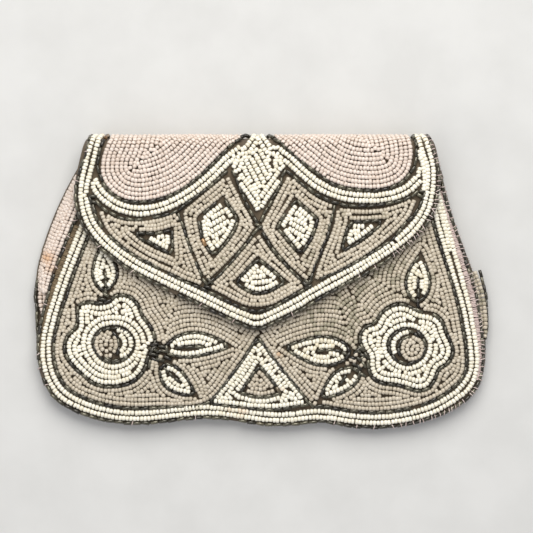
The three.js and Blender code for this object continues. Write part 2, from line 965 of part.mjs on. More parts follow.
// A gusset's cloth and its beads. Its strip is swept along the front seam from the mouth down.
// On the left it falls outwards from the seam to the back's edge, a quarter round across. On the
// right it stands under the front's edge and bows outwards a little.
function buildGussets(parent) {
  const skin = clothWall + gap + beadLayer;
  const pairs = frontLine
    .map((front) => {
      const back = backLine.reduce((best, p) => (p.distanceTo(front) < best.distanceTo(front) ? p : best));
      return { front, back };
    })
    .filter(({ back }) => back.y < mouthY);
  const above = ({ front }, share) => front.y > place({ x: 0, y: share }).y;
  const leftPairs = pairs.filter((pair) => pair.front.x < 0 && above(pair, leftGussetShare));
  const rightPairs = pairs.filter((pair) => pair.front.x > 0 && above(pair, rightGussetShare));
  const turns = evenSteps(0, Math.PI / 2, Math.PI / 2 / gussetSteps);

  const leftGrid = (side) =>
    leftPairs.map(({ front, back }) => {
      const outward = back.clone().sub(front);
      const spread = outward.length() - skin - 2 * gap;
      const rise = seamRise(front.y) - gap;
      outward.normalize();
      return turns.map((turn) => {
        const out = gap + (spread + side) * Math.sin(turn);
        const up = backInner + gap + (rise + side) * Math.cos(turn);
        return new THREE.Vector3(front.x + outward.x * out, front.y + outward.y * out, up);
      });
    });
  const normals = outwardNormals(rightPairs.map(({ front }) => front), false);
  const rightGrid = (side) =>
    rightPairs.map(({ front }, i) => {
      const rise = seamRise(front.y) - 2 * gap;
      return turns.map((turn) => {
        const share = turn / (Math.PI / 2);
        const out = side - skin + gussetBow * Math.sin(Math.PI * share);
        const up = backInner + gap + rise * (1 - share);
        return new THREE.Vector3(front.x + normals[i].x * out, front.y + normals[i].y * out, up);
      });
    });
  const strip = (grid, low, high) => toSolid(gridGeometry(grid(low), grid(high)));
  addPiece(parent, "gusset_left", strip(leftGrid, 0, clothWall), "cloth");
  addPiece(parent, "gusset_left_beads", strip(leftGrid, clothWall + gap, skin), "rose");
  addPiece(parent, "gusset_right", strip(rightGrid, 0, clothWall), "cloth");
  addPiece(parent, "gusset_right_beads", strip(rightGrid, clothWall + gap, skin), "rose");
}

// The bead fields of the flap
function buildFlapBeads(parent) {
  const edgeInside = grow(flapOutline, -bugleRow);
  const borderOuter = grow(flapOutline, -bugleRow - gap);
  const borderInner = grow(flapOutline, -bugleRow - gap - borderWidth);
  const field = grow(flapOutline, -bugleRow - 2 * gap - borderWidth);
  addPiece(parent, "flap_edge_bugles", onFlap(flapOutline, [edgeInside]), "bugle");
  addPiece(parent, "flap_border_beads", onFlap(borderOuter, [borderInner]), "ivory");

  const swag = cutter(bandOutline(swagLineLeft, swagWidth))
    .add(cutter(bandOutline(swagLineRight, swagWidth)))
    .add(cutter(bandOutline(swagTail, ivoryRow)))
    .add(cutter(closedOutline(peak)))
    .intersect(cutter(field));
  addPiece(parent, "flap_swag_beads", onFlap(flapOutline).intersect(swag), "ivory");
  addPiece(parent, "flap_scallop_left", onFlap(closedOutline(scallopLeft)), "rose");
  addPiece(parent, "flap_scallop_right", onFlap(closedOutline(scallopRight)), "rose");

  for (const [name, figure] of Object.entries(figures)) {
    const outline = closedOutline(figure, figureStep);
    const cell = onFlap(closedOutline(cells[figure.cell]), [grow(outline, bugleGroove)]);
    addPiece(parent, `flap_cell_${figure.cell}`, cell, "grey");
    addPiece(parent, `flap_${name}`, onFlap(outline), "ivory");
  }
}

// The bead fields of the front. The ground has a hole with a groove round each figure set in it.
function buildFrontBeads(parent) {
  const edge = onFront(closeAtTop(frontLine, mouthY), [closeAtTop(frontBugleInside, farUp)]);
  addPiece(parent, "front_edge_bugles", edge, "bugle");
  const border = onFront(closeAtTop(borderOutside, mouthY), [closeAtTop(borderInside, farUp)]);
  addPiece(parent, "front_border_beads", border, "ivory");

  const holes = [];
  for (const [side, flower] of Object.entries(flowers)) {
    const petals = closedOutline(flower.petals, figureStep);
    holes.push(grow(petals, bugleGroove));
    const ring = onFront(petals, [closedOutline(flower.eye, figureStep)]);
    addPiece(parent, `flower_${side}_petals`, ring, "ivory");
    addPiece(parent, `flower_${side}_disc`, onFront(closedOutline(flower.disc, figureStep)), "grey");
    const crescent = onFront(closedOutline(flower.crescent, figureStep));
    addPiece(parent, `flower_${side}_crescent`, crescent, "ivory");
  }
  for (const leaf of readTable(leaves)) {
    const outline = leafOutline(leaf);
    holes.push(grow(outline, bugleGroove));
    addPiece(parent, leaf.name, onFront(outline, [veinOutline(leaf)]), "ivory");
  }
  const triangle = closedOutline(bottomTriangle);
  const triangleHole = closedOutline(bottomTriangleHole);
  holes.push(grow(triangle, bugleGroove));
  addPiece(parent, "front_triangle", onFront(triangle, [triangleHole]), "ivory");
  addPiece(parent, "front_triangle_core", onFront(grow(triangleHole, -bugleGroove)), "grey");

  const ground = onFront(closeAtTop(groundLine, mouthY), holes);
  addPiece(parent, "front_ground", ground.subtract(buildSnap(parent)), "grey");
}

// The snap under the flap's point stands in a round hole of the front's beads. The hole is returned.
function buildSnap(parent) {
  const centre = place(flapPoint).add(new THREE.Vector2(0, snapInset));
  const low = frontUnder(centre.x, centre.y) + clothWall + gap;
  const thickness = beadLayer + flapEase - gap;
  const disc = (radius, height, base) => {
    const geometry = new THREE.CylinderGeometry(radius, radius, height, snapSides);
    geometry.rotateX(Math.PI / 2);
    geometry.translate(centre.x, centre.y, base + height / 2);
    return toSolid(geometry);
  };
  addPiece(parent, "snap_fastener", disc(snapDiameter / 2, thickness, low), "steel");
  return disc(snapDiameter / 2 + gap, skyHeight, 0);
}

// The bead fields of the back, plain as far as it can be known
function buildBackBeads(parent) {
  const edgeInside = grow(backOutline, -bugleRow);
  const borderOuter = grow(backOutline, -bugleRow - gap);
  const borderInner = grow(backOutline, -bugleRow - gap - borderWidth);
  const ground = grow(backOutline, -bugleRow - gap - borderWidth - bugleGroove);
  addPiece(parent, "back_edge_bugles", onBack(backOutline, [edgeInside]), "bugle");
  addPiece(parent, "back_border_beads", onBack(borderOuter, [borderInner]), "ivory");
  addPiece(parent, "back_ground", onBack(ground), "grey");
}

buildWrap(purse);
buildFront(purse);
buildGussets(purse);
buildFlapBeads(purse);
buildFrontBeads(purse);
buildBackBeads(purse);

// The origin comes to the middle of the bounding box's underside
const box = new THREE.Box3().setFromObject(purse);
purse.position.set(-(box.min.x + box.max.x) / 2, -(box.min.y + box.max.y) / 2, -box.min.z);

export default purse;
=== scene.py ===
"""The looks of a beaded envelope clutch: seed beads, bugles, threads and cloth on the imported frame.

A shape is worked out in millimetres and goes into its mesh in metres. Patterns of beads are laid out
flat, as on the maker's frame, and a chart lays them on a panel. A spot of a chart is (x, s): s is y on
the flat of the panel, and where the panel turns round the fold it goes on as the length of the arc.
"""

import logging
import math
from dataclasses import dataclass, field
from enum import Enum
from typing import Iterable

import bpy
import numpy as np
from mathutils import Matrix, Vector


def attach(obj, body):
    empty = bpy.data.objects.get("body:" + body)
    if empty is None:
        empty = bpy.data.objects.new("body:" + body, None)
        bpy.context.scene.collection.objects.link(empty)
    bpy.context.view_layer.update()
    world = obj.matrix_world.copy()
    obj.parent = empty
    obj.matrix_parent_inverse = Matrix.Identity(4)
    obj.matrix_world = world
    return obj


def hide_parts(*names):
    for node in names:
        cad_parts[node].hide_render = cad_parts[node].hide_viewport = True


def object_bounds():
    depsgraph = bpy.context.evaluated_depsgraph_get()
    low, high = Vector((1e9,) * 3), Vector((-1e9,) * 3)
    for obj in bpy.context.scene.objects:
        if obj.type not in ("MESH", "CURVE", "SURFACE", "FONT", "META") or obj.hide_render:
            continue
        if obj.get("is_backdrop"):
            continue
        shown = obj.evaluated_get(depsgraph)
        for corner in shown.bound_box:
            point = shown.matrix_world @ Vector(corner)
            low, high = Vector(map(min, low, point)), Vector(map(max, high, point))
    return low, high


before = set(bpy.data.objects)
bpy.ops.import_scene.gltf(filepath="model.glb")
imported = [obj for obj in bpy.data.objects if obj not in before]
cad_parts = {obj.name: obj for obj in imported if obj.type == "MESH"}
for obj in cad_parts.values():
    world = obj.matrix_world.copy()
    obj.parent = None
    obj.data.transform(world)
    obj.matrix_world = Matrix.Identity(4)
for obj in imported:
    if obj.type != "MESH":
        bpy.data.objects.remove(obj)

Array = np.ndarray
Colour = tuple[float, float, float]
log = logging.getLogger("clutch")

MM = 0.001
BODY = "root"

# The photograph's scale: millimetres a pixel, and the pixel that lies over the part's origin
PIXEL = 0.42
ORIGIN_PIXEL = (260.5, 281.2)
IMAGE_PIXELS = 533

# How wide the rows of beads and the grooves between the fields are
IVORY_ROW = 2.35
GROUND_ROW = 1.9
GROOVE = 1.9
BEAD_STEP = 1.52
BUGLE_GAP = 0.25

# How far in the first row of ivory beads and of the others runs, as shares of a row
FIRST_ROWS = (0.42, 0.33)

# East of this the edges keep most of their whip stitches, west of it few, as shares. How far a stitch
# reaches to each side, and how high its feet lie
STITCHED_FROM = 55.0
STITCHES_LEFT = (0.8, 0.12)
STITCH_REACH = 1.15
STITCH_FOOT = 0.35

# How far what is sewn on stands off the cloth, the cloth's wall, and the fineness of the outlines
STAND_OFF = 0.3
CLOTH_WALL = 1.2
BEAD_LAYER = 1.8
SAMPLE = 0.4
WELD = 0.01
LEAST_SLOPE = 0.1

# A point of an outline goes if it is this near the next or the straight, and so does a loop this
# small. What is this near the end of a pattern closes it
CROWDING = 0.35
STRAIGHT = 0.05
LEAST_OUTLINE = 2.0
FOLD_SLACK = 0.5

# From which turn a corner is sharp, and in how many steps its normals turn
CORNER_TURN = math.radians(48)
CORNER_STEPS = 9

# What a length may not fall under where it divides, and how many spots are measured at a time
TINY = 1e-9
HAIR = 1e-6
BATCH = 400

# A fill whose rows aren't limited runs until its region is full
ALL_ROWS = 99


class Panel(Enum):
    """The panels that beads are sewn on."""

    FRONT = "front"
    FLAP = "flap"
    BACK = "back"
    GUSSET_LEFT = "gusset_left"
    GUSSET_RIGHT = "gusset_right"


GUSSETS = (Panel.GUSSET_LEFT, Panel.GUSSET_RIGHT)


class Slot(Enum):
    """The record's material slots."""

    CLOTH = "cloth"
    IVORY = "ivory_beads"
    GREY = "grey_beads"
    ROSE = "rose_beads"
    BUGLES = "bugles"
    STEEL = "steel"


def photo_points(pixels: Iterable[tuple[float, float]]) -> Array:
    """Turns points read from the photograph into millimetres in the frame's directions.

    Args:
        pixels: points as (pixels from the left, pixels from the top).

    Returns:
        An array of (x, y) rows.
    """
    spots = np.array(list(pixels), float)
    return np.column_stack([spots[:, 0] - ORIGIN_PIXEL[0], ORIGIN_PIXEL[1] - spots[:, 1]]) * PIXEL


def dice(name: str) -> np.random.Generator:
    """Returns the random numbers of a piece, the same on each run."""
    return np.random.default_rng(list(name.encode()))


def unit(vectors: Array) -> Array:
    """Returns the vectors with a length of one, and leaves zero vectors as they are."""
    return vectors / np.maximum(np.linalg.norm(vectors, axis=-1, keepdims=True), TINY)


def node_faces(name: str) -> Array:
    """Reads a CAD node's triangles in millimetres.

    Args:
        name: the node.

    Returns:
        An array of faces by corners by coordinates.
    """
    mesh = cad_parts[name].data
    mesh.calc_loop_triangles()
    spots = np.empty(len(mesh.vertices) * 3, np.float32)
    mesh.vertices.foreach_get("co", spots)
    corners = np.empty(len(mesh.loop_triangles) * 3, np.int32)
    mesh.loop_triangles.foreach_get("vertices", corners)
    return spots.reshape(-1, 3)[corners].reshape(-1, 3, 3).astype(float) / MM


def facing(faces: Array, up: bool) -> Array:
    """Keeps the faces that look up, or down.

    Args:
        faces: triangles by corners by coordinates.
        up: True for those that look up.

    Returns:
        The faces kept.
    """
    normals = unit(np.cross(faces[:, 1] - faces[:, 0], faces[:, 2] - faces[:, 0]))
    lift = normals[:, 2] if up else -normals[:, 2]
    return faces[lift > LEAST_SLOPE]


def tilt(side: int) -> Array:
    """Returns the turn about y that makes the direction up and out to a side the new z."""
    half = math.sqrt(0.5)
    return np.array([[half, 0, -side * half], [0, 1, 0], [side * half, 0, half]])


# A gusset's surface is steep, so its chart is drawn as seen from half way between above and the side
TILTS = {Panel.GUSSET_LEFT: tilt(-1), Panel.GUSSET_RIGHT: tilt(1)}


def boundary_loops(faces: Array) -> list[Array]:
    """Finds the closed lines round a set of faces: the edges that only one face has, joined end to end.

    Args:
        faces: triangles by corners by coordinates.

    Returns:
        Loops of (x, y) points, with the faces on the left when seen from the side that they face.
    """
    keys = np.round(faces.reshape(-1, 3) / WELD).astype(np.int64)
    spots, index = np.unique(keys, axis=0, return_inverse=True)
    index = index.reshape(-1, 3)
    edges = np.concatenate([index[:, [0, 1]], index[:, [1, 2]], index[:, [2, 0]]])
    edges = edges[edges[:, 0] != edges[:, 1]]
    forward = edges[:, 0] * len(spots) + edges[:, 1]
    backward = edges[:, 1] * len(spots) + edges[:, 0]
    rim = edges[~np.isin(forward, backward)]
    follow: dict[int, list[int]] = {}
    for start, end in rim.tolist():
        follow.setdefault(start, []).append(end)
    loops = []
    while follow:
        start = next(iter(follow))
        loop = [start]
        while True:
            ends = follow.get(loop[-1])
            if not ends:
                break
            step = ends.pop()
            if not ends:
                del follow[loop[-1]]
            if step == start:
                break
            loop.append(step)
        loops.append(spots[loop][:, :2] * WELD)
    return loops


def without_straight_points(loop: Array) -> Array:
    """Leaves out the points of a closed line that crowd their neighbour or lie on the straight.

    The distance of a point from the line through its neighbours is the cross product of the two sides
    over the length between the neighbours.

    Args:
        loop: (x, y) points.

    Returns:
        The points kept.
    """
    loop = loop[np.linalg.norm(loop - np.roll(loop, -1, axis=0), axis=1) > CROWDING]
    for _ in range(3):
        before = np.roll(loop, 1, axis=0)
        after = np.roll(loop, -1, axis=0)
        across = after - before
        length = np.maximum(np.linalg.norm(across, axis=1), HAIR)
        side = loop - before
        away = np.abs(across[:, 0] * side[:, 1] - across[:, 1] * side[:, 0]) / length
        loop = loop[away > STRAIGHT]
    return loop


@dataclass
class Outline:
    """A closed line with its region on the left, sampled finely.

    The inward normals turn in small steps at a sharp corner, where the point is repeated. live is False
    on the stretch past the fold that only closes the line, and no row follows it.
    """

    points: Array
    inward: Array
    live: Array

    @classmethod
    def through(cls, loop: Array, fold_end: float = math.inf) -> "Outline":
        """Draws a smooth closed line through points: a centripetal spline, broken at sharp corners.

        Args:
            loop: (x, y) points in order, with the region on the left.
            fold_end: points as high as this belong to the closing stretch.

        Returns:
            The outline.
        """
        count = len(loop)
        ahead = np.roll(loop, -1, axis=0) - loop
        behind = loop - np.roll(loop, 1, axis=0)
        turn = np.arctan2(
            behind[:, 0] * ahead[:, 1] - behind[:, 1] * ahead[:, 0], (behind * ahead).sum(axis=1)
        )
        sharp = np.abs(turn) > CORNER_TURN
        points, tangents, repeats = [], [], []
        for i in range(count):
            a, b = loop[i], loop[(i + 1) % count]
            before = 2 * a - b if sharp[i] else loop[i - 1]
            after = 2 * b - a if sharp[(i + 1) % count] else loop[(i + 2) % count]
            run = spline_run(before, a, b, after)
            points.append(run[:-1])
            steps = unit(np.diff(run, axis=0))
            tangents.append(steps)
            mark = np.zeros(len(run) - 1, bool)
            mark[0] = sharp[i]
            repeats.append(mark)
        spots = np.concatenate(points)
        leaving = np.concatenate(tangents)
        arriving = np.roll(leaving, 1, axis=0)
        corner = np.concatenate(repeats)
        times = np.where(corner, CORNER_STEPS, 1)
        shares = [np.linspace(0, 1, CORNER_STEPS) if mark else [0.5] for mark in corner]
        share = np.concatenate(shares)
        leave_angle = np.arctan2(leaving[:, 1], leaving[:, 0])
        arrive_angle = np.arctan2(arriving[:, 1], arriving[:, 0])
        swing = (leave_angle - arrive_angle + math.pi) % (2 * math.pi) - math.pi
        angle = np.repeat(arrive_angle, times) + share * np.repeat(swing, times) + math.pi / 2
        spots = np.repeat(spots, times, axis=0)
        inward = np.column_stack([np.cos(angle), np.sin(angle)])
        return cls(spots, inward, spots[:, 1] < fold_end - FOLD_SLACK)

    def grown(self, amount: float) -> Array:
        """Moves the line outwards and leaves out the points that a bend brings too near.

        Args:
            amount: how far it moves.

        Returns:
            The line, closed where all of it is live.
        """
        moved = self.points - self.inward * amount
        keep = nearest(moved, self.points) > abs(amount) - SAMPLE / 5
        if self.live.all():
            return np.concatenate([moved[keep], moved[keep][:1]])
        order = np.roll(np.arange(len(moved)), -int(np.argmin(self.live)))
        return moved[order[(keep & self.live)[order]]]


def spline_run(before: Array, a: Array, b: Array, after: Array) -> Array:
    """Samples a span of a centripetal spline, worked out by its pyramid of weighted means.

    Args:
        before: the point before a.
        a: the span's start.
        b: the span's end.
        after: the point after b.

    Returns:
        Points from a to b, about a sample's length apart.
    """
    spans = ((before, a), (a, b), (b, after))
    knots = np.cumsum([0.0] + [math.sqrt(max(math.dist(p, q), HAIR)) for p, q in spans])
    t0, t1, t2, t3 = knots
    count = max(1, round(math.dist(a, b) / SAMPLE))
    t = np.linspace(t1, t2, count + 1)[:, None]
    first = (t1 - t) / (t1 - t0) * before + (t - t0) / (t1 - t0) * a
    second = (t2 - t) / (t2 - t1) * a + (t - t1) / (t2 - t1) * b
    third = (t3 - t) / (t3 - t2) * b + (t - t2) / (t3 - t2) * after
    low = (t2 - t) / (t2 - t0) * first + (t - t0) / (t2 - t0) * second
    high = (t3 - t) / (t3 - t1) * second + (t - t1) / (t3 - t1) * third
    return (t2 - t) / (t2 - t1) * low + (t - t1) / (t2 - t1) * high


def smooth_line(points: Array) -> Array:
    """Samples a smooth open line through points, evenly along its length.

    Args:
        points: the points in order.

    Returns:
        The samples.
    """
    if len(points) > 2:
        spans = []
        for i in range(len(points) - 1):
            before = points[i - 1] if i else 2 * points[0] - points[1]
            after = points[i + 2] if i + 2 < len(points) else 2 * points[-1] - points[-2]
            spans.append(spline_run(before, points[i], points[i + 1], after)[:-1])
        points = np.concatenate([*spans, points[-1:]])
    return evenly(points, SAMPLE)


def evenly(points: Array, step: float) -> Array:
    """Samples a broken line evenly: its points are read off against the length so far.

    Args:
        points: the line's corners.
        step: about how far apart the samples lie.

    Returns:
        The samples, both ends among them.
    """
    lengths = np.concatenate([[0], np.cumsum(np.linalg.norm(np.diff(points, axis=0), axis=1))])
    count = max(1, round(lengths[-1] / step))
    marks = np.linspace(0, lengths[-1], count + 1)
    return np.column_stack([np.interp(marks, lengths, column) for column in points.T])


def divided(lines: Iterable[Array], step: float) -> tuple[Array, Array, Array]:
    """Divides lines into equal steps.

    Args:
        lines: the lines.
        step: about how long a step is.

    Returns:
        The middles, directions and lengths of all their steps.
    """
    runs = [evenly(line, step) for line in lines]
    steps = np.concatenate([np.diff(run, axis=0) for run in runs])
    middles = np.concatenate([(run[1:] + run[:-1]) / 2 for run in runs])
    return middles, unit(steps), np.linalg.norm(steps, axis=1)


def nearest(spots: Array, others: Array) -> Array:
    """Measures how far each spot is from the nearest of some other spots.

    Args:
        spots: the spots.
        others: what the distance is measured to.

    Returns:
        The distances.
    """
    least = np.empty(len(spots))
    far = others.astype(np.float32)
    for start in range(0, len(spots), BATCH):
        part = spots[start : start + BATCH].astype(np.float32)
        gaps = (part[:, None, 0] - far[None, :, 0]) ** 2 + (part[:, None, 1] - far[None, :, 1]) ** 2
        least[start : start + BATCH] = np.sqrt(gaps.min(axis=1))
    return least


def crossings(loop: Array, levels: Array) -> tuple[Array, Array]:
    """Finds where level lines cross a closed line.

    Args:
        loop: the closed line.
        levels: the y of each level line.

    Returns:
        For each level and each side of the loop, whether they cross and at which x.
    """
    ahead = np.roll(loop, -1, axis=0)
    y = levels[:, None]
    crossed = (loop[:, 1] > y) != (ahead[:, 1] > y)
    rise = np.where(ahead[:, 1] == loop[:, 1], TINY, ahead[:, 1] - loop[:, 1])
    return crossed, (ahead[:, 0] - loop[:, 0]) * (y - loop[:, 1]) / rise + loop[:, 0]


def inside(spots: Array, loops: list[Array]) -> Array:
    """Tells which spots a set of closed lines encloses.

    They are those whose level ray to the right crosses the lines an odd number of times.

    Args:
        spots: the spots.
        loops: the closed lines.

    Returns:
        True for each spot that is enclosed.
    """
    odd = np.zeros(len(spots), bool)
    for loop in loops:
        for start in range(0, len(spots), BATCH):
            x, y = spots[start : start + BATCH].T
            crossed, place = crossings(loop, y)
            right = crossed & (x[:, None] < place)
            odd[start : start + BATCH] ^= right.sum(axis=1) % 2 == 1
    return odd


@dataclass
class HeightMap:
    """Heights over the plan on a square grid, read between its knots by straight shares."""

    low: Array
    step: float
    heights: Array

    @classmethod
    def over(
        cls, faces: Array, margin: float = 16, step: float = 1.0, blur: float = 3.0
    ) -> "HeightMap":
        """Draws faces on a grid, spreads the heights outwards from their edge and blurs them.

        Args:
            faces: triangles by corners by coordinates, of one layer.
            margin: how far the grid goes past them.
            step: the grid's step.
            blur: the width of the blur, as a standard deviation.

        Returns:
            The height map.
        """
        plan = faces[:, :, :2].reshape(-1, 2)
        low = plan.min(axis=0) - margin
        size = np.ceil((plan.max(axis=0) + margin - low) / step).astype(int)
        heights = np.full((size[1] + 1, size[0] + 1), np.nan)
        for a, b, c in faces:
            first = np.floor((np.minimum(np.minimum(a, b), c)[:2] - low) / step).astype(int)
            last = np.ceil((np.maximum(np.maximum(a, b), c)[:2] - low) / step).astype(int) + 1
            x = low[0] + step * np.arange(first[0], last[0])[None, :]
            y = low[1] + step * np.arange(first[1], last[1])[:, None]
            area = (b[0] - a[0]) * (c[1] - a[1]) - (b[1] - a[1]) * (c[0] - a[0])
            v = ((x - a[0]) * (c[1] - a[1]) - (y - a[1]) * (c[0] - a[0])) / area
            w = ((b[0] - a[0]) * (y - a[1]) - (b[1] - a[1]) * (x - a[0])) / area
            drawn = (v >= -HAIR) & (w >= -HAIR) & (v + w <= 1 + HAIR)
            part = heights[first[1] : last[1], first[0] : last[0]]
            level = a[2] + v * (b[2] - a[2]) + w * (c[2] - a[2])
            part[drawn] = np.fmax(part, level)[drawn]
        while np.isnan(heights).any():
            padded = np.pad(heights, 1, constant_values=np.nan)
            sides = np.stack([padded[2:, 1:-1], padded[:-2, 1:-1], padded[1:-1, 2:], padded[1:-1, :-2]])
            known = ~np.isnan(sides)
            total = np.where(known, sides, 0).sum(axis=0)
            number = known.sum(axis=0)
            spread = np.where(number > 0, total / np.maximum(number, 1), np.nan)
            heights = np.where(np.isnan(heights), spread, heights)
        reach = math.ceil(3 * blur / step)
        weights = np.exp(-0.5 * (np.arange(-reach, reach + 1) * step / blur) ** 2)
        weights /= weights.sum()
        for axis in (0, 1):
            border = [(reach, reach) if a == axis else (0, 0) for a in (0, 1)]
            wide = np.pad(heights, border, mode="edge")
            span = np.arange(heights.shape[axis])
            shifts = [np.take(wide, span + k, axis) for k in range(2 * reach + 1)]
            heights = sum(weight * shift for weight, shift in zip(weights, shifts))
        return cls(low, step, heights)

    def read(self, x: Array, y: Array) -> Array:
        """Reads the heights at points of the plan.

        Args:
            x: the points' x.
            y: their y.

        Returns:
            The heights.
        """
        rows, columns = self.heights.shape
        u = np.clip((x - self.low[0]) / self.step, 0, columns - 1.001)
        v = np.clip((y - self.low[1]) / self.step, 0, rows - 1.001)
        i, j = v.astype(int), u.astype(int)
        fi, fj = v - i, u - j
        near = self.heights[i, j] * (1 - fj) + self.heights[i, j + 1] * fj
        far = self.heights[i + 1, j] * (1 - fj) + self.heights[i + 1, j + 1] * fj
        return near * (1 - fi) + far * fi


@dataclass
class Form:
    """The purse's form as read from the frame: the panels' heights, the fold and the plan outlines.

    The flap's height at the fold is read a little before the fold line. What is seen in plan past the
    turn share of the fold's reach counts as lying at its very edge.
    """

    fold_reach: float = 6.6
    before_fold: float = 2.0
    turn_shares: tuple[float, float] = (0.93, 0.8)
    reliefs: dict[Panel, HeightMap] = field(init=False)
    back_z: float = field(init=False)
    fold_y: float = field(init=False)
    fold_half: float = field(init=False)
    parting_z: float = field(init=False)

    def __post_init__(self) -> None:
        """Reads the height maps and the fold's sizes from the cloth nodes."""
        low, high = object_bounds()
        self.back_z = BEAD_LAYER + STAND_OFF
        self.fold_y = high.y / MM - self.fold_reach
        self.fold_half = self.fold_reach - self.back_z
        self.parting_z = self.back_z + 2 * CLOTH_WALL
        wrap = facing(node_faces("wrap_panel"), True)
        middles = wrap.mean(axis=1)
        over = (middles[:, 2] > self.parting_z) & (middles[:, 1] < self.fold_y)
        self.reliefs = {
            Panel.FRONT: HeightMap.over(facing(node_faces("front_panel"), True)),
            Panel.FLAP: HeightMap.over(wrap[over]),
        }
        for panel in GUSSETS:
            beads = facing(node_faces(f"{panel.value}_beads") @ TILTS[panel].T, True)
            self.reliefs[panel] = HeightMap.over(beads, margin=6, step=0.5, blur=0.7)

    def fold_top(self, x: Array) -> Array:
        """Returns the height of the flap cloth's outer face at the fold."""
        return self.reliefs[Panel.FLAP].read(x, np.full_like(x, self.fold_y - self.before_fold))

    def mean_turn(self, x: Array) -> Array:
        """Returns the fold's mean radius, the root of the mean square of the ellipse's halves."""
        rise = (self.fold_top(x) - self.back_z) / 2
        return np.sqrt((rise**2 + self.fold_half**2) / 2)

    @property
    def flap_end(self) -> float:
        """Returns how far the flap's pattern goes on, past the fold's turn to the parting."""
        x = np.zeros(1)
        rise = float((self.fold_top(x)[0] - self.back_z) / 2)
        sink = math.asin((rise + self.back_z - self.parting_z) / (rise + self.back_z))
        return self.fold_y + float(self.mean_turn(x)[0]) * (math.pi / 2 + sink)

    @property
    def back_end(self) -> float:
        """Returns how far the back's pattern goes on, round the fold to the parting."""
        half_turn = float(self.mean_turn(np.zeros(1))[0]) * math.pi
        return self.fold_y + half_turn - (self.flap_end - self.fold_y)

    def unroll(self, points: Array, panel: Panel, lift: float) -> Array:
        """Turns points seen in plan into spots of a panel's chart.

        Past the fold line the arc's length is the mean radius times the angle whose sine is the way past
        the line over the fold's reach, and what lies at the very edge goes on to the parting.

        Args:
            points: (x, y) points seen in plan.
            panel: the panel.
            lift: how far off the cloth the points lie.

        Returns:
            (x, s) spots.
        """
        if panel is Panel.FRONT or panel in GUSSETS:
            return points.copy()
        spots = points.copy()
        end = self.flap_end if panel is Panel.FLAP else self.back_end
        share = (points[:, 1] - self.fold_y) / (self.fold_half + lift)
        arc = self.mean_turn(points[:, 0]) * np.arcsin(np.clip(share, 0, 1))
        edge = self.turn_shares[0 if panel is Panel.FLAP else 1]
        past = share > 0
        spots[past, 1] = (self.fold_y + arc)[past]
        spots[share > edge, 1] = end
        return spots

    def lay(self, spots: Array, panel: Panel) -> tuple[Array, Array, Array, Array]:
        """Lays the spots of a chart on a panel's outer face.

        On the flat a spot keeps its x and y and takes the panel's height. Past the fold line it goes
        round a half ellipse: y is the fold line plus the reach times the sine of the way round, and z is
        the middle plus the rise times its cosine, from above for the flap and from below for the back.

        Args:
            spots: (x, s) spots.
            panel: the panel.

        Returns:
            The points, the directions in which x and s grow, and the outward normals.
        """
        x, s = spots[:, 0], spots[:, 1]
        y = np.minimum(s, self.fold_y)
        points = np.column_stack([x, s, np.zeros_like(x)])
        along_x = np.tile([1.0, 0, 0], (len(x), 1))
        along_s = np.tile([0.0, 1, 0], (len(x), 1))
        if panel is Panel.BACK:
            points[:, 2] = self.back_z
            normals = np.tile([0.0, 0, -1], (len(x), 1))
        else:
            relief = self.reliefs[panel]
            points[:, 2] = relief.read(x, y)
            along_x[:, 2] = relief.read(x + 0.5, y) - relief.read(x - 0.5, y)
            along_s[:, 2] = relief.read(x, y + 0.5) - relief.read(x, y - 0.5)
            along_x, along_s = unit(along_x), unit(along_s)
            normals = unit(np.cross(along_x, along_s))
        if panel in GUSSETS:
            points -= normals * (STAND_OFF + BEAD_LAYER)
            turn_back = TILTS[panel]
            return points @ turn_back, along_x @ turn_back, along_s @ turn_back, normals @ turn_back
        if panel in (Panel.FLAP, Panel.BACK):
            past = s > self.fold_y
            top = self.fold_top(x)
            rise = (top - self.back_z) / 2
            sign = 1.0 if panel is Panel.FLAP else -1.0
            turn = (s - self.fold_y) / self.mean_turn(x)
            sine, cosine, none = np.sin(turn), np.cos(turn), np.zeros_like(x)
            half = self.fold_half
            middle = self.back_z + rise
            turned = (
                np.column_stack([x, self.fold_y + half * sine, middle + sign * rise * cosine]),
                unit(np.column_stack([none, half * cosine, -sign * rise * sine])),
                unit(np.column_stack([none, sine / half, sign * cosine / rise])),
            )
            for flat, bent in zip((points, along_s, normals), turned):
                flat[past] = bent[past]
        return points, along_x, along_s, normals

    def region(
        self, node: str, panel: Panel, lift: float = STAND_OFF + BEAD_LAYER
    ) -> list[Outline]:
        """Reads a node's outlines from its outer faces.

        Args:
            node: the node.
            panel: the panel that it lies on.
            lift: how far its outer faces are off the cloth's.

        Returns:
            The outlines, on the panel's chart.
        """
        faces = facing(node_faces(node) @ TILTS.get(panel, np.eye(3)).T, panel is not Panel.BACK)
        faces = faces[self.own_side(faces, panel)]
        ends = {Panel.FLAP: self.flap_end, Panel.BACK: self.back_end}
        end = ends.get(panel, math.inf)
        outlines = []
        for loop in boundary_loops(faces):
            if panel is Panel.BACK:
                loop = loop[::-1]
            loop = without_straight_points(loop)
            if len(loop) > 2 and np.ptp(loop, axis=0).max() > LEAST_OUTLINE:
                outlines.append(Outline.through(self.unroll(loop, panel, lift), end))
        return outlines

    def own_side(self, faces: Array, panel: Panel) -> Array:
        """Tells which faces lie on a panel's side of the parting.

        Args:
            faces: triangles by corners by coordinates.
            panel: the panel.

        Returns:
            True for each face that does.
        """
        middle = faces.mean(axis=1)
        level = middle[:, 2]
        if panel is Panel.FLAP:
            fold_middle = (float(self.fold_top(np.zeros(1))[0]) + self.back_z) / 2
            return (level > self.parting_z) & ((middle[:, 1] < self.fold_y) | (level > fold_middle))
        if panel is Panel.BACK:
            return level < self.parting_z
        return np.ones(len(faces), bool)


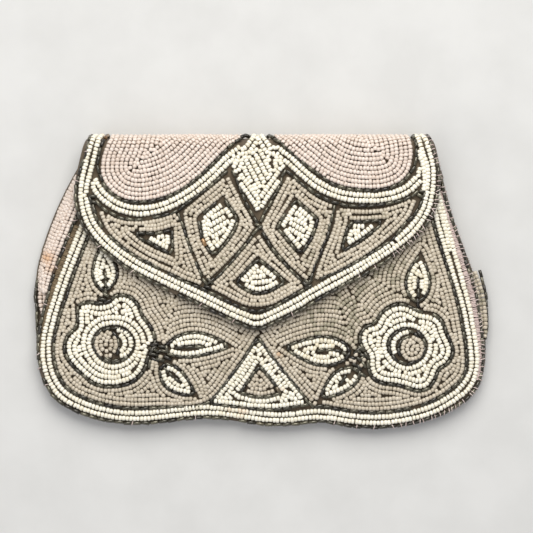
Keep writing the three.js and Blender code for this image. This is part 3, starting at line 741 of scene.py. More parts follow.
class Crowd:
    """The beads placed so far, kept in square cells, so that a new one finds its neighbours fast."""

    def __init__(self, along: float, across: float) -> None:
        """Starts an empty crowd.

        Args:
            along: how near beads may come along their row.
            across: how near they may come across it.
        """
        self.along = along
        self.across = across
        self.cell = max(along, across)
        self.cells: dict[tuple[int, int], list[tuple[float, float]]] = {}

    def admits(self, x: float, y: float, dx: float, dy: float) -> bool:
        """Adds a bead unless another lies in the ellipse round it.

        Args:
            x: the bead's place.
            y: the bead's place.
            dx: its row's direction.
            dy: its row's direction.

        Returns:
            Whether it was added.
        """
        i, j = int(x // self.cell), int(y // self.cell)
        for a in (i - 1, i, i + 1):
            for b in (j - 1, j, j + 1):
                for px, py in self.cells.get((a, b), ()):
                    u = ((px - x) * dx + (py - y) * dy) / self.along
                    v = ((py - y) * dx - (px - x) * dy) / self.across
                    if u * u + v * v < 1:
                        return False
        self.cells.setdefault((i, j), []).append((x, y))
        return True


# How far short of its depth a row may come to another stretch of the outline, and, as shares of a row
# and of the first row's depth, how near the outline straight rows and fillers may come
ROW_SLACK = 0.12
STRAIGHT_SLACK = 0.25
FILLER_SHARE = 0.85


@dataclass
class RowFill:
    """Fills a region with rows that follow its outlines, as beads are sewn round a pattern.

    clear are points that the beads keep clear_by away from. first is how far in the first row runs,
    free how far from all beads a bare spot lies, and closeness how near beads may come along and
    across their row, all as shares of a row or step. rows is how many rows follow the outline before
    straight ones at a slant, in degrees, fill the rest.
    """

    region: list[Outline]
    row: float
    step: float
    clear: Array | None = None
    clear_by: float = 1.0
    first: float = 0.44
    free: float = 0.6
    rows: int = ALL_ROWS
    slant: float = 0.0
    closeness: tuple[float, float] = (0.84, 0.74)
    search: float = 0.45
    edge: Array = field(init=False)
    loops: list[Array] = field(init=False)
    crowd: Crowd = field(init=False)

    def __post_init__(self) -> None:
        """Collects the outlines' live points and loops, and starts the crowd."""
        self.edge = np.concatenate([o.points[o.live] for o in self.region])
        self.loops = [o.points[::2] for o in self.region]
        self.crowd = Crowd(self.step * self.closeness[0], self.row * self.closeness[1])

    def spots(self) -> tuple[Array, Array]:
        """Works out the rows.

        Row k runs at (k + first) times the row's width from the nearest outline: the outline's points
        move along their inward normals, those that come nearer to another stretch are dropped, and what
        is left is divided evenly. Beads that would lie on placed ones are dropped. Where only the first
        rows are asked for, straight rows at a slant fill what they enclose, each shifted by half a step
        against the next. The bare spots that still stay get beads of their own.

        Returns:
            The spots and the directions of their rows.
        """
        spots, headings = [], []
        depth = self.first * self.row
        for _ in range(self.rows):
            found = False
            for outline in self.region:
                moved = outline.points + outline.inward * depth
                keep = (nearest(moved, self.edge) > depth - ROW_SLACK) & outline.live
                if not keep.any():
                    continue
                found = True
                for run in self.runs(moved, keep):
                    middle, heading, _ = divided([run], self.step)
                    good = inside(middle, self.loops) & self.is_clear(middle)
                    taken = [
                        bool(ok) and self.crowd.admits(*p, *d)
                        for ok, p, d in zip(good, middle.tolist(), heading.tolist())
                    ]
                    spots.append(middle[taken])
                    headings.append(heading[taken])
            if not found:
                break
            depth += self.row
        if self.rows < ALL_ROWS:
            core, core_way = self.straight(depth)
            spots.append(core)
            headings.append(core_way)
        placed, ways = np.concatenate(spots), np.concatenate(headings)
        extra, extra_way = self.fillers(placed, ways)
        return np.concatenate([placed, extra]), np.concatenate([ways, extra_way])

    def is_clear(self, spots: Array) -> Array:
        """Tells which spots are far enough from the points to keep clear."""
        if self.clear is None or not len(self.clear):
            return np.ones(len(spots), bool)
        return nearest(spots, self.clear) > self.clear_by

    def straight(self, depth: float) -> tuple[Array, Array]:
        """Lays straight rows at a slant over what lies deeper than the rows so far.

        Args:
            depth: how deep the next row would run.

        Returns:
            The spots and directions.
        """
        turn = math.radians(self.slant)
        way = np.array([math.cos(turn), math.sin(turn)])
        side = np.array([-way[1], way[0]])
        points = np.concatenate(self.loops)
        middle = (points.min(axis=0) + points.max(axis=0)) / 2
        reach = float(np.ptp(points, axis=0).max())
        i, j = np.meshgrid(
            np.arange(-int(reach / self.step), int(reach / self.step) + 1),
            np.arange(-int(reach / self.row), int(reach / self.row) + 1),
        )
        steps = (i + 0.5 * (j % 2)).ravel() * self.step
        spots = middle + steps[:, None] * way + (j.ravel() * self.row)[:, None] * side
        spots = spots[inside(spots, self.loops)]
        spots = spots[nearest(spots, self.edge) > depth - STRAIGHT_SLACK * self.row]
        taken = [self.crowd.admits(x, y, *way) for x, y in spots.tolist()]
        spots = spots[np.array(taken, bool)]
        return spots, np.tile(way, (len(spots), 1))

    @staticmethod
    def runs(moved: Array, keep: Array) -> list[Array]:
        """Splits a moved outline into its unbroken stretches, and closes one that is whole.

        Args:
            moved: the outline's points.
            keep: False where it breaks.

        Returns:
            The stretches.
        """
        if keep.all():
            return [np.concatenate([moved, moved[:1]])]
        start = int(np.argmin(keep))
        moved, keep = np.roll(moved, -start, axis=0), np.roll(keep, -start)
        bounds = np.flatnonzero(np.diff(np.concatenate([[0], keep.astype(int), [0]])))
        pairs = bounds.reshape(-1, 2)
        return [moved[a:b] for a, b in pairs if b - a > 1]

    def fillers(self, placed: Array, way: Array) -> tuple[Array, Array]:
        """Places beads on the bare spots that the rows leave.

        Args:
            placed: the beads of the rows.
            way: the directions of their rows.

        Returns:
            The fillers' spots and directions.
        """
        grid, margin = self.search, 2
        low = placed.min(axis=0) - margin
        size = np.ceil((placed.max(axis=0) + margin - low) / grid).astype(int)
        bare = np.ones((size[0] + 1, size[1] + 1), bool)
        cells = np.round((placed - low) / grid).astype(int)
        free = self.row * self.free
        reach = math.ceil(free / grid)
        for i in range(-reach, reach + 1):
            for j in range(-reach, reach + 1):
                if math.hypot(i, j) * grid < free:
                    a = np.clip(cells[:, 0] + i, 0, size[0])
                    b = np.clip(cells[:, 1] + j, 0, size[1])
                    bare[a, b] = False
        spots = np.argwhere(bare) * grid + low
        spots = spots[inside(spots, self.loops)]
        spots = spots[nearest(spots, self.edge) > self.first * self.row * FILLER_SHARE]
        spots = spots[self.is_clear(spots)]
        if not len(spots):
            return np.zeros((0, 2)), np.zeros((0, 2))
        taken, ways = [], []
        for x, y in spots.tolist():
            near = int(np.argmin((placed[:, 0] - x) ** 2 + (placed[:, 1] - y) ** 2))
            if self.crowd.admits(x, y, *way[near]):
                taken.append((x, y))
                ways.append(way[near])
        return np.array(taken).reshape(-1, 2), np.array(ways).reshape(-1, 2)


def mesh_object(
    name: str, points: Array, faces: list[Array], smooth: bool = True
) -> bpy.types.Object:
    """Makes an object from arrays.

    Args:
        name: the object's name.
        points: vertices in millimetres.
        faces: arrays of vertex numbers, each with faces of one number of corners.
        smooth: whether the faces are shaded smooth.

    Returns:
        The object, linked to the scene.
    """
    mesh = bpy.data.meshes.new(name)
    mesh.vertices.add(len(points))
    mesh.vertices.foreach_set("co", (points * MM).astype(np.float32).ravel())
    corners = np.concatenate([f.ravel() for f in faces]).astype(np.int32)
    sizes = np.concatenate([np.full(len(f), f.shape[1]) for f in faces])
    mesh.loops.add(len(corners))
    mesh.loops.foreach_set("vertex_index", corners)
    mesh.polygons.add(len(sizes))
    starts = np.concatenate([[0], np.cumsum(sizes)[:-1]]).astype(np.int32)
    mesh.polygons.foreach_set("loop_start", starts)
    mesh.polygons.foreach_set("use_smooth", np.full(len(sizes), smooth))
    mesh.update(calc_edges=True)
    mesh.validate()
    piece = bpy.data.objects.new(name, mesh)
    bpy.context.scene.collection.objects.link(piece)
    return piece


def set_attribute(piece: bpy.types.Object, name: str, values: Array) -> None:
    """Writes a number for each vertex of a piece.

    Args:
        piece: the piece.
        name: the attribute's name.
        values: the numbers.
    """
    attribute = piece.data.attributes.new(name, "FLOAT", "POINT")
    attribute.data.foreach_set("value", values.astype(np.float32))


def finish_piece(
    piece: bpy.types.Object, material: bpy.types.Material, node: str | None = None
) -> bpy.types.Object:
    """Dresses a piece and ties it to the frame.

    Args:
        piece: the piece.
        material: its finish.
        node: the CAD node that it stands for, if any.

    Returns:
        The piece.
    """
    piece.data.materials.append(material)
    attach(piece, BODY)
    if node:
        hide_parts(node)
    log.info("%s: %d faces", piece.name, len(piece.data.polygons))
    return piece


def tube_faces(rings: int, sides: int) -> tuple[Array, Array]:
    """Numbers the faces of a tube of rings that one point closes at each end.

    The rings' points come first, ring by ring, and the two end points last.

    Args:
        rings: how many rings it has.
        sides: the points of a ring.

    Returns:
        The quads between the rings and the triangles of the ends.
    """
    k = np.arange(sides)
    after = (k + 1) % sides
    last_ring = (rings - 1) * sides
    bands = [
        np.column_stack([low + k, low + after, low + sides + after, low + sides + k])
        for low in range(0, last_ring, sides)
    ]
    start, end = np.full(sides, rings * sides), np.full(sides, rings * sides + 1)
    caps = [
        np.column_stack([start, after, k]),
        np.column_stack([end, last_ring + k, last_ring + after]),
    ]
    return np.concatenate(bands), np.concatenate(caps)


def copied(faces: Iterable[Array], count: int, size: int) -> list[Array]:
    """Numbers the faces of many copies of a shape that follow one another.

    Args:
        faces: the shape's faces, by their number of corners.
        count: how many copies there are.
        size: the points of one copy.

    Returns:
        The faces of all copies, in the same groups.
    """
    shift = (np.arange(count) * size)[:, None, None]
    return [(face[None] + shift).reshape(-1, face.shape[1]) for face in faces]


# How far the hole's shade reaches up a bead's end
HOLE_REACH = 1.35


@dataclass(frozen=True)
class Turned:
    """A small turned shape about the way of its row: rings of points and a dimple at each end.

    rings holds each ring's place along the length and its radius, both as shares: of the length, and of
    half the width. The dimples are the ends of the bead's hole.
    """

    sides: int
    rings: tuple[tuple[float, float], ...]
    dimple: float

    def template(self) -> tuple[Array, list[Array], Array]:
        """Works out the shape.

        Ring i's point k lies at the ring's place, and at its radius times the cosine and sine of k turns
        of a full one over the number of sides.

        Returns:
            The points (along, across, up), the faces, and how near each point is to the hole.
        """
        places = np.array([place for place, _ in self.rings])
        radii = np.array([radius for _, radius in self.rings])
        angles = (np.arange(self.sides) + 0.5) * 2 * math.pi / self.sides
        ring = np.stack(
            [
                np.repeat(places[:, None], self.sides, axis=1),
                radii[:, None] * np.cos(angles) / 2,
                radii[:, None] * np.sin(angles) / 2,
            ],
            axis=-1,
        ).reshape(-1, 3)
        ends = np.array([[places[0] + self.dimple, 0, 0], [places[-1] - self.dimple, 0, 0]])
        faces = [group[:, ::-1] for group in tube_faces(len(self.rings), self.sides)]
        nearness = np.clip(HOLE_REACH - HOLE_REACH * radii, 0, 1)
        hole = np.concatenate([np.repeat(nearness, self.sides), [1.0, 1.0]])
        return np.concatenate([ring, ends]), faces, hole


ROUND_BEAD = Turned(7, ((-0.5, 0.6), (-0.27, 0.97), (0.27, 0.97), (0.5, 0.6)), 0.14)
GROUND_BEAD = Turned(6, ((-0.5, 0.66), (-0.27, 1.0), (0.27, 1.0), (0.5, 0.66)), 0.14)
PLAIN_BEAD = Turned(5, ((-0.5, 0.45), (0, 1.05), (0.5, 0.45)), 0.14)
BUGLE = Turned(8, ((-0.5, 0.72), (-0.47, 1.0), (0.47, 1.0), (0.5, 0.72)), 0.04)


@dataclass
class Strung:
    """Many copies of one turned shape, each at its own spot and way, joined in one mesh.

    sizes has three rows: the copies' lengths, widths and heights.
    """

    name: str
    shape: Turned
    centres: Array
    along: Array
    normals: Array
    sizes: Array
    tints: Array
    stains: Array

    def build(self) -> bpy.types.Object:
        """Makes all the copies at once.

        A point is the copy's centre plus the template's three numbers, times the copy's sizes, along
        its three directions.

        Returns:
            The joined copies.
        """
        spots, faces, hole = self.shape.template()
        count, size = len(self.centres), len(spots)
        directions = (self.along, unit(np.cross(self.normals, self.along)))
        directions += (unit(np.cross(*directions)),)
        points = np.tile(self.centres[:, None, :], (1, size, 1))
        for i in range(3):
            points += directions[i][:, None, :] * (self.sizes[i][:, None] * spots[:, i])[..., None]
        piece = mesh_object(self.name, points.reshape(-1, 3), copied(faces, count, size))
        set_attribute(piece, "tint", np.repeat(self.tints, size))
        set_attribute(piece, "stain", np.repeat(self.stains, size))
        set_attribute(piece, "hole", np.tile(hole, count))
        return piece


@dataclass(frozen=True)
class Grade:
    """A size of seed bead."""

    shape: Turned
    length: float
    width: float
    height: float
    spread: float = 0.07
    tilt: float = 0.14

    @property
    def measures(self) -> Array:
        """Returns the length, the width and the height, one to a row."""
        return np.array([[self.length], [self.width], [self.height]])


IVORY_GRADE = Grade(ROUND_BEAD, 1.54, 2.3, 1.8, 0.05)
GREY_GRADE = Grade(GROUND_BEAD, 1.58, 2.0, 1.66, 0.05)
BACK_GRADE = Grade(PLAIN_BEAD, 1.5, 1.84, 1.62)


@dataclass(frozen=True)
class Hand:
    """How unevenly a hand sews: the spread of a bead's place, of its lean and of its seat."""

    place: float
    lean: float
    seat: float


BEAD_HAND = Hand(0.06, 0.1, 0.05)
BUGLE_HAND = Hand(0.12, 0.04, 0.06)

# The least and the largest bead against its grade, how high its middle lies as a share of its height,
# and the tint of the dullest one
BEAD_SIZES = (0.82, 1.16)
BEAD_SEAT = 0.48
LEAST_TINT = 0.25

# A bugle's size, how its way and its thickness vary, the mean and spread of how much of its place it
# fills, and how many are missing
BUGLE_LENGTH = 3.5
BUGLE_WIDTH = 1.55
BUGLE_SWING = 0.07
BUGLE_SPREAD = 0.05
BUGLE_SHARE = (0.98, 0.03)
MISSING = 0.02

# Threads: the points of a ring, the step and radius of a strip's strands, how far inside the bugles'
# line they start and how long they are, and the step and radius of the stitches
THREAD_SIDES = 5
STRAND_STEP = 0.42
STRAND_RADIUS = 0.2
STRAND_START = 0.5
STRAND_LENGTH = 2.5
STITCH_STEP = 1.9
STITCH_RADIUS = 0.17

# Rusty marks: a pixel of the photograph, a radius in millimetres and a strength
STAINS = (
    (48, 258, 2.4, 0.75),
    (50, 268, 1.6, 0.5),
    (104, 138, 1.0, 0.8),
    (205, 241, 0.9, 0.8),
    (230, 411, 1.2, 0.35),
    (241, 413, 1.3, 0.6),
    (245, 411, 1.2, 0.4),
    (264, 426, 1.0, 0.8),
    (282, 390, 1.3, 0.35),
    (279, 355, 0.8, 0.6),
)

# Ground just below the flap's edge, made darker: partly painted shade of the flap, partly grime, in the
# same way
FLAP_SHADE_AND_GRIME = (
    (322, 330, 15, 0.55),
    (352, 300, 14, 0.5),
    (392, 275, 12, 0.5),
    (300, 345, 9, 0.3),
    (160, 285, 10, 0.25),
)


def marked(points: Array, table: Iterable[tuple[float, float, float, float]]) -> Array:
    """Tells how marked each point is: the strongest of the marks, each fading from its middle as a bell.

    Args:
        points: the points.
        table: the marks, as (pixel x, pixel y, radius, strength).

    Returns:
        A number from 0 to 1 for each point.
    """
    marks = np.array(table, float)
    centres = photo_points(marks[:, :2])
    away = np.linalg.norm(points[:, None, :2] - centres[None], axis=2)
    return (marks[:, 3] * np.exp(-((away / marks[:, 2]) ** 2))).max(axis=1)


def lay_beads(
    name: str, grade: Grade, form: Form, panel: Panel, spots: Array, ways: Array
) -> bpy.types.Object:
    """Lays beads on a panel, each a little off in place, size and turn.

    Args:
        name: the piece's name.
        grade: the beads' size.
        form: the purse's form.
        panel: the panel that they are sewn on.
        spots: their spots on the chart.
        ways: the directions of their rows on the chart.

    Returns:
        The joined beads.
    """
    rng = dice(name)
    count = len(spots)
    spots = spots + rng.normal(0, BEAD_HAND.place, (count, 2))
    points, along_x, along_s, normals = form.lay(spots, panel)
    swing = rng.normal(0, grade.tilt, count)
    turned = np.column_stack(
        [
            ways[:, 0] * np.cos(swing) - ways[:, 1] * np.sin(swing),
            ways[:, 0] * np.sin(swing) + ways[:, 1] * np.cos(swing),
        ]
    )
    along = unit(along_x * turned[:, :1] + along_s * turned[:, 1:])
    along = unit(along + normals * rng.normal(0, BEAD_HAND.lean, count)[:, None])
    size = rng.normal(1, grade.spread, (3, count)).clip(*BEAD_SIZES)
    seat = STAND_OFF + grade.height * BEAD_SEAT + rng.normal(0, BEAD_HAND.seat, count)
    # Below the flap the front's beads get a lower tint: partly painted shade of the flap, partly grime
    shade_and_grime = marked(points, FLAP_SHADE_AND_GRIME) if panel is Panel.FRONT else 0.0
    return Strung(
        name,
        grade.shape,
        points + normals * seat[:, None],
        along,
        normals,
        grade.measures * size,
        LEAST_TINT + (1 - LEAST_TINT) * rng.random(count) - shade_and_grime,
        marked(points, STAINS),
    ).build()


def lay_bugles(name: str, form: Form, panel: Panel, lines: list[Array]) -> bpy.types.Object:
    """Lays bugles end to end along lines, now and then with one left out.

    Args:
        name: the piece's name.
        form: the purse's form.
        panel: the panel.
        lines: lines on the chart.

    Returns:
        The joined bugles.
    """
    rng = dice(name)
    spots, way, span = divided(lines, BUGLE_LENGTH + BUGLE_GAP)
    keep = rng.random(len(spots)) > MISSING
    spots, way, span = spots[keep], way[keep], span[keep] - BUGLE_GAP
    count = len(spots)
    side = np.column_stack([-way[:, 1], way[:, 0]])
    spots = spots + side * rng.normal(0, BUGLE_HAND.place, count)[:, None]
    points, along_x, along_s, normals = form.lay(spots, panel)
    swing = rng.normal(0, BUGLE_SWING, count)
    turned = unit(way + side * swing[:, None])
    along = unit(along_x * turned[:, :1] + along_s * turned[:, 1:])
    along = unit(along + normals * rng.normal(0, BUGLE_HAND.lean, count)[:, None])
    widths = BUGLE_WIDTH * rng.normal(1, BUGLE_SPREAD, count)
    seat = STAND_OFF + BUGLE_WIDTH * 0.5 + rng.normal(0, BUGLE_HAND.seat, count)
    return Strung(
        name,
        BUGLE,
        points + normals * seat[:, None],
        along,
        normals,
        np.array([span * rng.normal(*BUGLE_SHARE, count), widths, widths]),
        rng.random(count),
        marked(points, STAINS),
    ).build()


def strand_strip(
    name: str, form: Form, lines: list[Array], side: int, low: float, high: float
) -> bpy.types.Object:
    """Lays short strands square to an edge, side by side, between its bugles and its border.

    A strand starts on the bugles, arches a little and ends lower.

    Args:
        name: the piece's name.
        form: the purse's form.
        lines: the edge's lines of bugles.
        side: 1 for the right side and -1 for the left.
        low: the lowest y of the strip.
        high: the highest y of the strip.

    Returns:
        The joined strands.
    """
    rng = dice(name)
    knots = [evenly(line, STRAND_STEP) for line in lines]
    way = np.concatenate([unit(run[2:] - run[:-2]) for run in knots])
    marks = np.concatenate([run[1:-1] for run in knots])
    keep = (marks[:, 0] * side > STITCHED_FROM) & (marks[:, 1] > low) & (marks[:, 1] < high)
    marks, way = marks[keep], way[keep]
    inward = np.column_stack([-way[:, 1], way[:, 0]])
    inward *= -side * np.sign(inward[:, :1])
    count = len(marks)
    share = np.linspace(0, 1, 4)
    lean = rng.normal(0, 0.2, count)
    across = marks[:, None] + inward[:, None] * (STRAND_START + STRAND_LENGTH * share)[:, None]
    across += way[:, None] * (lean[:, None] * share)[..., None]
    points, _, _, normals = form.lay(across.reshape(-1, 2), Panel.FRONT)
    lift = 1.25 - 0.35 * share + 0.15 * np.sin(share * math.pi)
    heights = lift[None] + rng.normal(0, 0.12, count)[:, None]
    paths = points.reshape(count, -1, 3) + normals.reshape(count, -1, 3) * heights[..., None]
    return tubes(name, paths, STRAND_RADIUS)


def edge_stitches(name: str, form: Form, panel: Panel, lines: list[Array]) -> bpy.types.Object:
    """Lays thread loops over edge bugles at even steps along them, most kept east of a line and few west
    of it.

    A loop goes over the bugles as a half ellipse: across it runs from one side to the other, and above
    its feet it rises by 1.5 mm times the root of one less the square of the way across.

    Args:
        name: the piece's name.
        form: the purse's form.
        panel: the panel.
        lines: the lines of bugles.

    Returns:
        The joined loops.
    """
    rng = dice(name)
    knots, ways = [], []
    for line in lines:
        marks = evenly(line, STITCH_STEP)
        knots.append(marks[1:-1])
        ways.append(unit(marks[2:] - marks[:-2]))
    spots, way = np.concatenate(knots), np.concatenate(ways)
    keep = rng.random(len(spots)) < np.where(spots[:, 0] > STITCHED_FROM, *STITCHES_LEFT)
    spots, way = spots[keep], way[keep]
    count = len(spots)
    spots = spots + way * rng.normal(0, 0.25, count)[:, None]
    side = np.column_stack([-way[:, 1], way[:, 0]])
    slant = rng.normal(0, 0.35, count)
    share = np.linspace(-1, 1, 6)
    across = spots[:, None] + side[:, None] * (share * STITCH_REACH)[:, None]
    across += way[:, None] * (slant[:, None] * share)[..., None]
    points, _, _, normals = form.lay(across.reshape(-1, 2), panel)
    lift = np.sqrt(np.clip(1 - share**2, 0, 1)) * 1.5 + STITCH_FOOT
    paths = points.reshape(count, -1, 3) + normals.reshape(count, -1, 3) * lift[None, :, None]
    return tubes(name, paths, STITCH_RADIUS)


def tubes(name: str, paths: Array, radius: float) -> bpy.types.Object:
    """Makes many threads at once: a ring of points is carried along each path.

    A ring stands square to the path's direction there, its first axis square to a fixed one.

    Args:
        name: the piece's name.
        paths: threads by points by coordinates.
        radius: the threads' radius.

    Returns:
        The joined threads.
    """
    count, steps = paths.shape[:2]
    way = unit(np.gradient(paths, axis=1))
    fixed = np.where(np.abs(way[..., 2:]) > 0.9, [[1.0, 0, 0]], [[0.0, 0, 1.0]])
    first = unit(np.cross(way, fixed))
    second = np.cross(way, first)
    angles = np.arange(THREAD_SIDES) * 2 * math.pi / THREAD_SIDES
    rings = (
        paths[:, :, None]
        + radius * first[:, :, None] * np.cos(angles)[:, None]
        + radius * second[:, :, None] * np.sin(angles)[:, None]
    )
    points = np.concatenate([rings.reshape(count, -1, 3), paths[:, [0, -1]]], axis=1)
    size = points.shape[1]
    faces = copied(tube_faces(steps, THREAD_SIDES), count, size)
    piece = mesh_object(name, points.reshape(-1, 3), faces)
    set_attribute(piece, "tint", np.repeat(dice(name).random(count), size))
    return piece


class Sheet:
    """A node tree as it is written."""

    def __init__(self, tree: bpy.types.NodeTree) -> None:
        """Starts on an empty tree."""
        self.tree = tree

    def add(self, kind: str, inputs: dict | None = None, **settings: object) -> bpy.types.Node:
        """Adds a node, sets its options and fills or links its sockets.

        Args:
            kind: the node's type.
            inputs: values or output sockets by the input's name or number.
            settings: the node's options.

        Returns:
            The node.
        """
        node = self.tree.nodes.new(kind)
        for name, value in settings.items():
            setattr(node, name, value)
        self.fill(node, inputs or {})
        return node

    def fill(self, node: bpy.types.Node, inputs: dict) -> None:
        """Fills or links the sockets of a node.

        Args:
            node: the node.
            inputs: values or output sockets by the input's name or number.
        """
        for key, value in inputs.items():
            if isinstance(value, bpy.types.NodeSocket):
                self.tree.links.new(value, node.inputs[key])
            else:
                node.inputs[key].default_value = value

    def attribute(self, name: str) -> bpy.types.NodeSocket:
        """Reads a number that the piece has at each vertex and returns the socket."""
        return self.add("ShaderNodeAttribute", attribute_name=name).outputs["Fac"]

    def place(self) -> bpy.types.NodeSocket:
        """Returns the socket of the place on the object."""
        return self.add("ShaderNodeTexCoord").outputs["Object"]

    def group(self, tree: bpy.types.NodeTree, **inputs: object) -> bpy.types.NodeOutputs:
        """Adds a shared group with its inputs and returns its outputs."""
        return self.add("ShaderNodeGroup", inputs, node_tree=tree).outputs

    def mix(self, factor: object, a: object, b: object) -> bpy.types.NodeSocket:
        """Mixes two colours and returns the result's socket."""
        sockets = {0: factor, 6: a, 7: b}
        return self.add("ShaderNodeMix", sockets, data_type="RGBA", clamp_factor=True).outputs[2]

    def math(self, operation: str, a: object, b: object = 0.0) -> bpy.types.NodeSocket:
        """Works out a sum, product or the like and returns its socket."""
        return self.add("ShaderNodeMath", {0: a, 1: b}, operation=operation).outputs[0]

    def span(
        self, value: object, low: float, high: float, to_low: float = 0, to_high: float = 1
    ) -> bpy.types.NodeSocket:
        """Stretches a range of a value to another one.

        Args:
            value: a number or a socket.
            low: the range's start.
            high: its end.
            to_low: what the start becomes.
            to_high: what the end becomes.

        Returns:
            The result's socket.
        """
        given = {"Value": value, "From Min": low, "From Max": high, "To Min": to_low, "To Max": to_high}
        return self.add("ShaderNodeMapRange", given).outputs["Result"]


def rgba(colour: Colour) -> tuple[float, float, float, float]:
    """Adds full opacity to a colour."""
    return (*colour, 1.0)


def new_group(
    name: str, inputs: dict[str, object], outputs: dict[str, str]
) -> tuple[Sheet, bpy.types.NodeOutputs, bpy.types.Node]:
    """Starts a shader node group.

    Args:
        name: the group's name.
        inputs: each input's first value, a number or a colour, by its name.
        outputs: each output's socket type by its name.

    Returns:
        The sheet, the sockets of the group's inputs and its output node.
    """
    tree = bpy.data.node_groups.new(name, "ShaderNodeTree")
    for label, value in inputs.items():
        kind = "NodeSocketFloat" if isinstance(value, (int, float)) else "NodeSocketColor"
        socket = tree.interface.new_socket(label, in_out="INPUT", socket_type=kind)
        socket.default_value = value
    for label, kind in outputs.items():
        tree.interface.new_socket(label, in_out="OUTPUT", socket_type=kind)
    sheet = Sheet(tree)
    return sheet, sheet.add("NodeGroupInput").outputs, sheet.add("NodeGroupOutput")


def bead_glaze() -> bpy.types.NodeTree:
    """Builds the group that colours beads: their own tint, which on the front is lowered below the flap
    as painted shade and grime, the thread seen at the hole, and stains.

    Returns:
        The group, which puts out a colour and a roughness.
    """
    black = rgba((0, 0, 0))
    inputs = {"Light": black, "Middle": black, "Deep": black, "Rim": black, "Stain": black, "Rough": 0.3}
    outputs = {"Color": "NodeSocketColor", "Roughness": "NodeSocketFloat"}
    sheet, given, result = new_group("bead glaze", inputs, outputs)
    tint = sheet.attribute("tint")
    noise = {"Vector": sheet.place(), "Scale": 55.0, "Detail": 3.0}
    cloud = sheet.add("ShaderNodeTexNoise", noise).outputs["Fac"]
    shade = sheet.math("ADD", tint, sheet.span(cloud, 0.3, 0.7, -0.22, 0.22))
    low = sheet.mix(sheet.span(shade, 0.0, 0.3), given["Deep"], given["Middle"])
    high = sheet.mix(sheet.span(shade, 0.35, 0.9), low, given["Light"])
    rim = sheet.mix(sheet.span(sheet.attribute("hole"), 0.25, 0.95), high, given["Rim"])
    stained = sheet.mix(sheet.attribute("stain"), rim, given["Stain"])
    rough = sheet.math("ADD", given["Rough"], sheet.span(tint, 0.0, 1.0, 0.1, -0.05))
    sheet.fill(result, {"Color": stained, "Roughness": rough})
    return sheet.tree


def grain() -> bpy.types.NodeTree:
    """Builds the group that gives cloth, thread and the floor their fine unevenness.

    Returns:
        The group, which puts out a mask and a height.
    """
    inputs = {"Scale": 300.0, "Depth": 0.5}
    outputs = {"Mask": "NodeSocketFloat", "Height": "NodeSocketFloat"}
    sheet, given, result = new_group("grain", inputs, outputs)
    noise = {"Vector": sheet.place(), "Scale": given["Scale"], "Detail": 5.0}
    mask = sheet.span(sheet.add("ShaderNodeTexNoise", noise).outputs["Fac"], 0.35, 0.65)
    sheet.fill(result, {"Mask": mask, "Height": sheet.math("MULTIPLY", mask, given["Depth"])})
    return sheet.tree


def new_material(name: str) -> tuple[bpy.types.Material, Sheet, bpy.types.Node]:
    """Starts a material.

    Args:
        name: the material's name.

    Returns:
        The material, its sheet and its Principled node.
    """
    material = bpy.data.materials.new(name)
    material.use_nodes = True
    return material, Sheet(material.node_tree), material.node_tree.nodes["Principled BSDF"]


@dataclass(frozen=True)
class BeadFinish:
    """A kind of glass: its colours from pale to deep, at the hole and where it is stained."""

    name: str
    light: Colour
    middle: Colour
    deep: Colour
    rim: Colour
    roughness: float
    coat: float
    metal: float = 0.0
    stain: Colour = (0.62, 0.33, 0.13)

    def material(self, glaze: bpy.types.NodeTree) -> bpy.types.Material:
        """Makes the material around the shared glaze.

        Args:
            glaze: the shared group.

        Returns:
            The material.
        """
        material, sheet, shader = new_material(self.name)
        glazed = sheet.group(
            glaze,
            Light=rgba(self.light),
            Middle=rgba(self.middle),
            Deep=rgba(self.deep),
            Rim=rgba(self.rim),
            Stain=rgba(self.stain),
            Rough=self.roughness,
        )
        finish = {
            "Base Color": glazed["Color"],
            "Roughness": glazed["Roughness"],
            "Metallic": self.metal,
            "Coat Weight": self.coat,
            "Coat Roughness": 0.12,
        }
        sheet.fill(shader, finish)
        return material


IVORY = BeadFinish(
    "ivory glass",
    (0.92, 0.88, 0.755),
    (0.86, 0.805, 0.66),
    (0.72, 0.65, 0.49),
    (0.46, 0.36, 0.2),
    0.34,
    0.3,
)
# On the front, beads below the flap slide towards this deep colour as painted shade and grime
GREY = BeadFinish(
    "grey glass",
    (0.61, 0.54, 0.43),
    (0.52, 0.45, 0.345),
    (0.33, 0.295, 0.21),
    (0.47, 0.39, 0.28),
    0.34,
    0.25,
)
ROSE = BeadFinish(
    "rose glass",
    (0.79, 0.68, 0.6),
    (0.71, 0.595, 0.51),
    (0.62, 0.5, 0.41),
    (0.63, 0.49, 0.37),
    0.34,
    0.25,
)
DARK = BeadFinish(
    "dark bugle glass",
    (0.13, 0.118, 0.08),
    (0.045, 0.04, 0.026),
    (0.018, 0.014, 0.009),
    (0.01, 0.008, 0.006),
    0.16,
    0.6,
    metal=0.55,
)


# The pale and the deep colour of each thread; the dark one is painted shade, worn by the strands along
# the front's left edge
PALE_THREAD = ((0.78, 0.66, 0.62), (0.56, 0.42, 0.38))
SHADE_THREAD = ((0.3, 0.22, 0.13), (0.14, 0.1, 0.055))


def thread_material(
    name: str, pale: Colour, deep: Colour, fine: bpy.types.NodeTree
) -> bpy.types.Material:
    """Makes a matt thread, uneven in colour, with its fibres as a fine bump.

    Args:
        name: the material's name.
        pale: the thread's pale colour.
        deep: its deep colour.
        fine: the group of fine unevenness.

    Returns:
        The material.
    """
    material, sheet, shader = new_material(name)
    fibres = sheet.group(fine, Scale=2600.0)
    own = sheet.math("MULTIPLY", sheet.attribute("tint"), 0.6)
    shade = sheet.math("ADD", own, sheet.math("MULTIPLY", fibres["Mask"], 0.4))
    relief = {"Height": fibres["Height"], "Strength": 0.4, "Distance": 0.0002}
    finish = {
        "Base Color": sheet.mix(shade, rgba(deep), rgba(pale)),
        "Normal": sheet.add("ShaderNodeBump", relief).outputs["Normal"],
        "Roughness": 0.8,
    }
    sheet.fill(shader, finish)
    return material


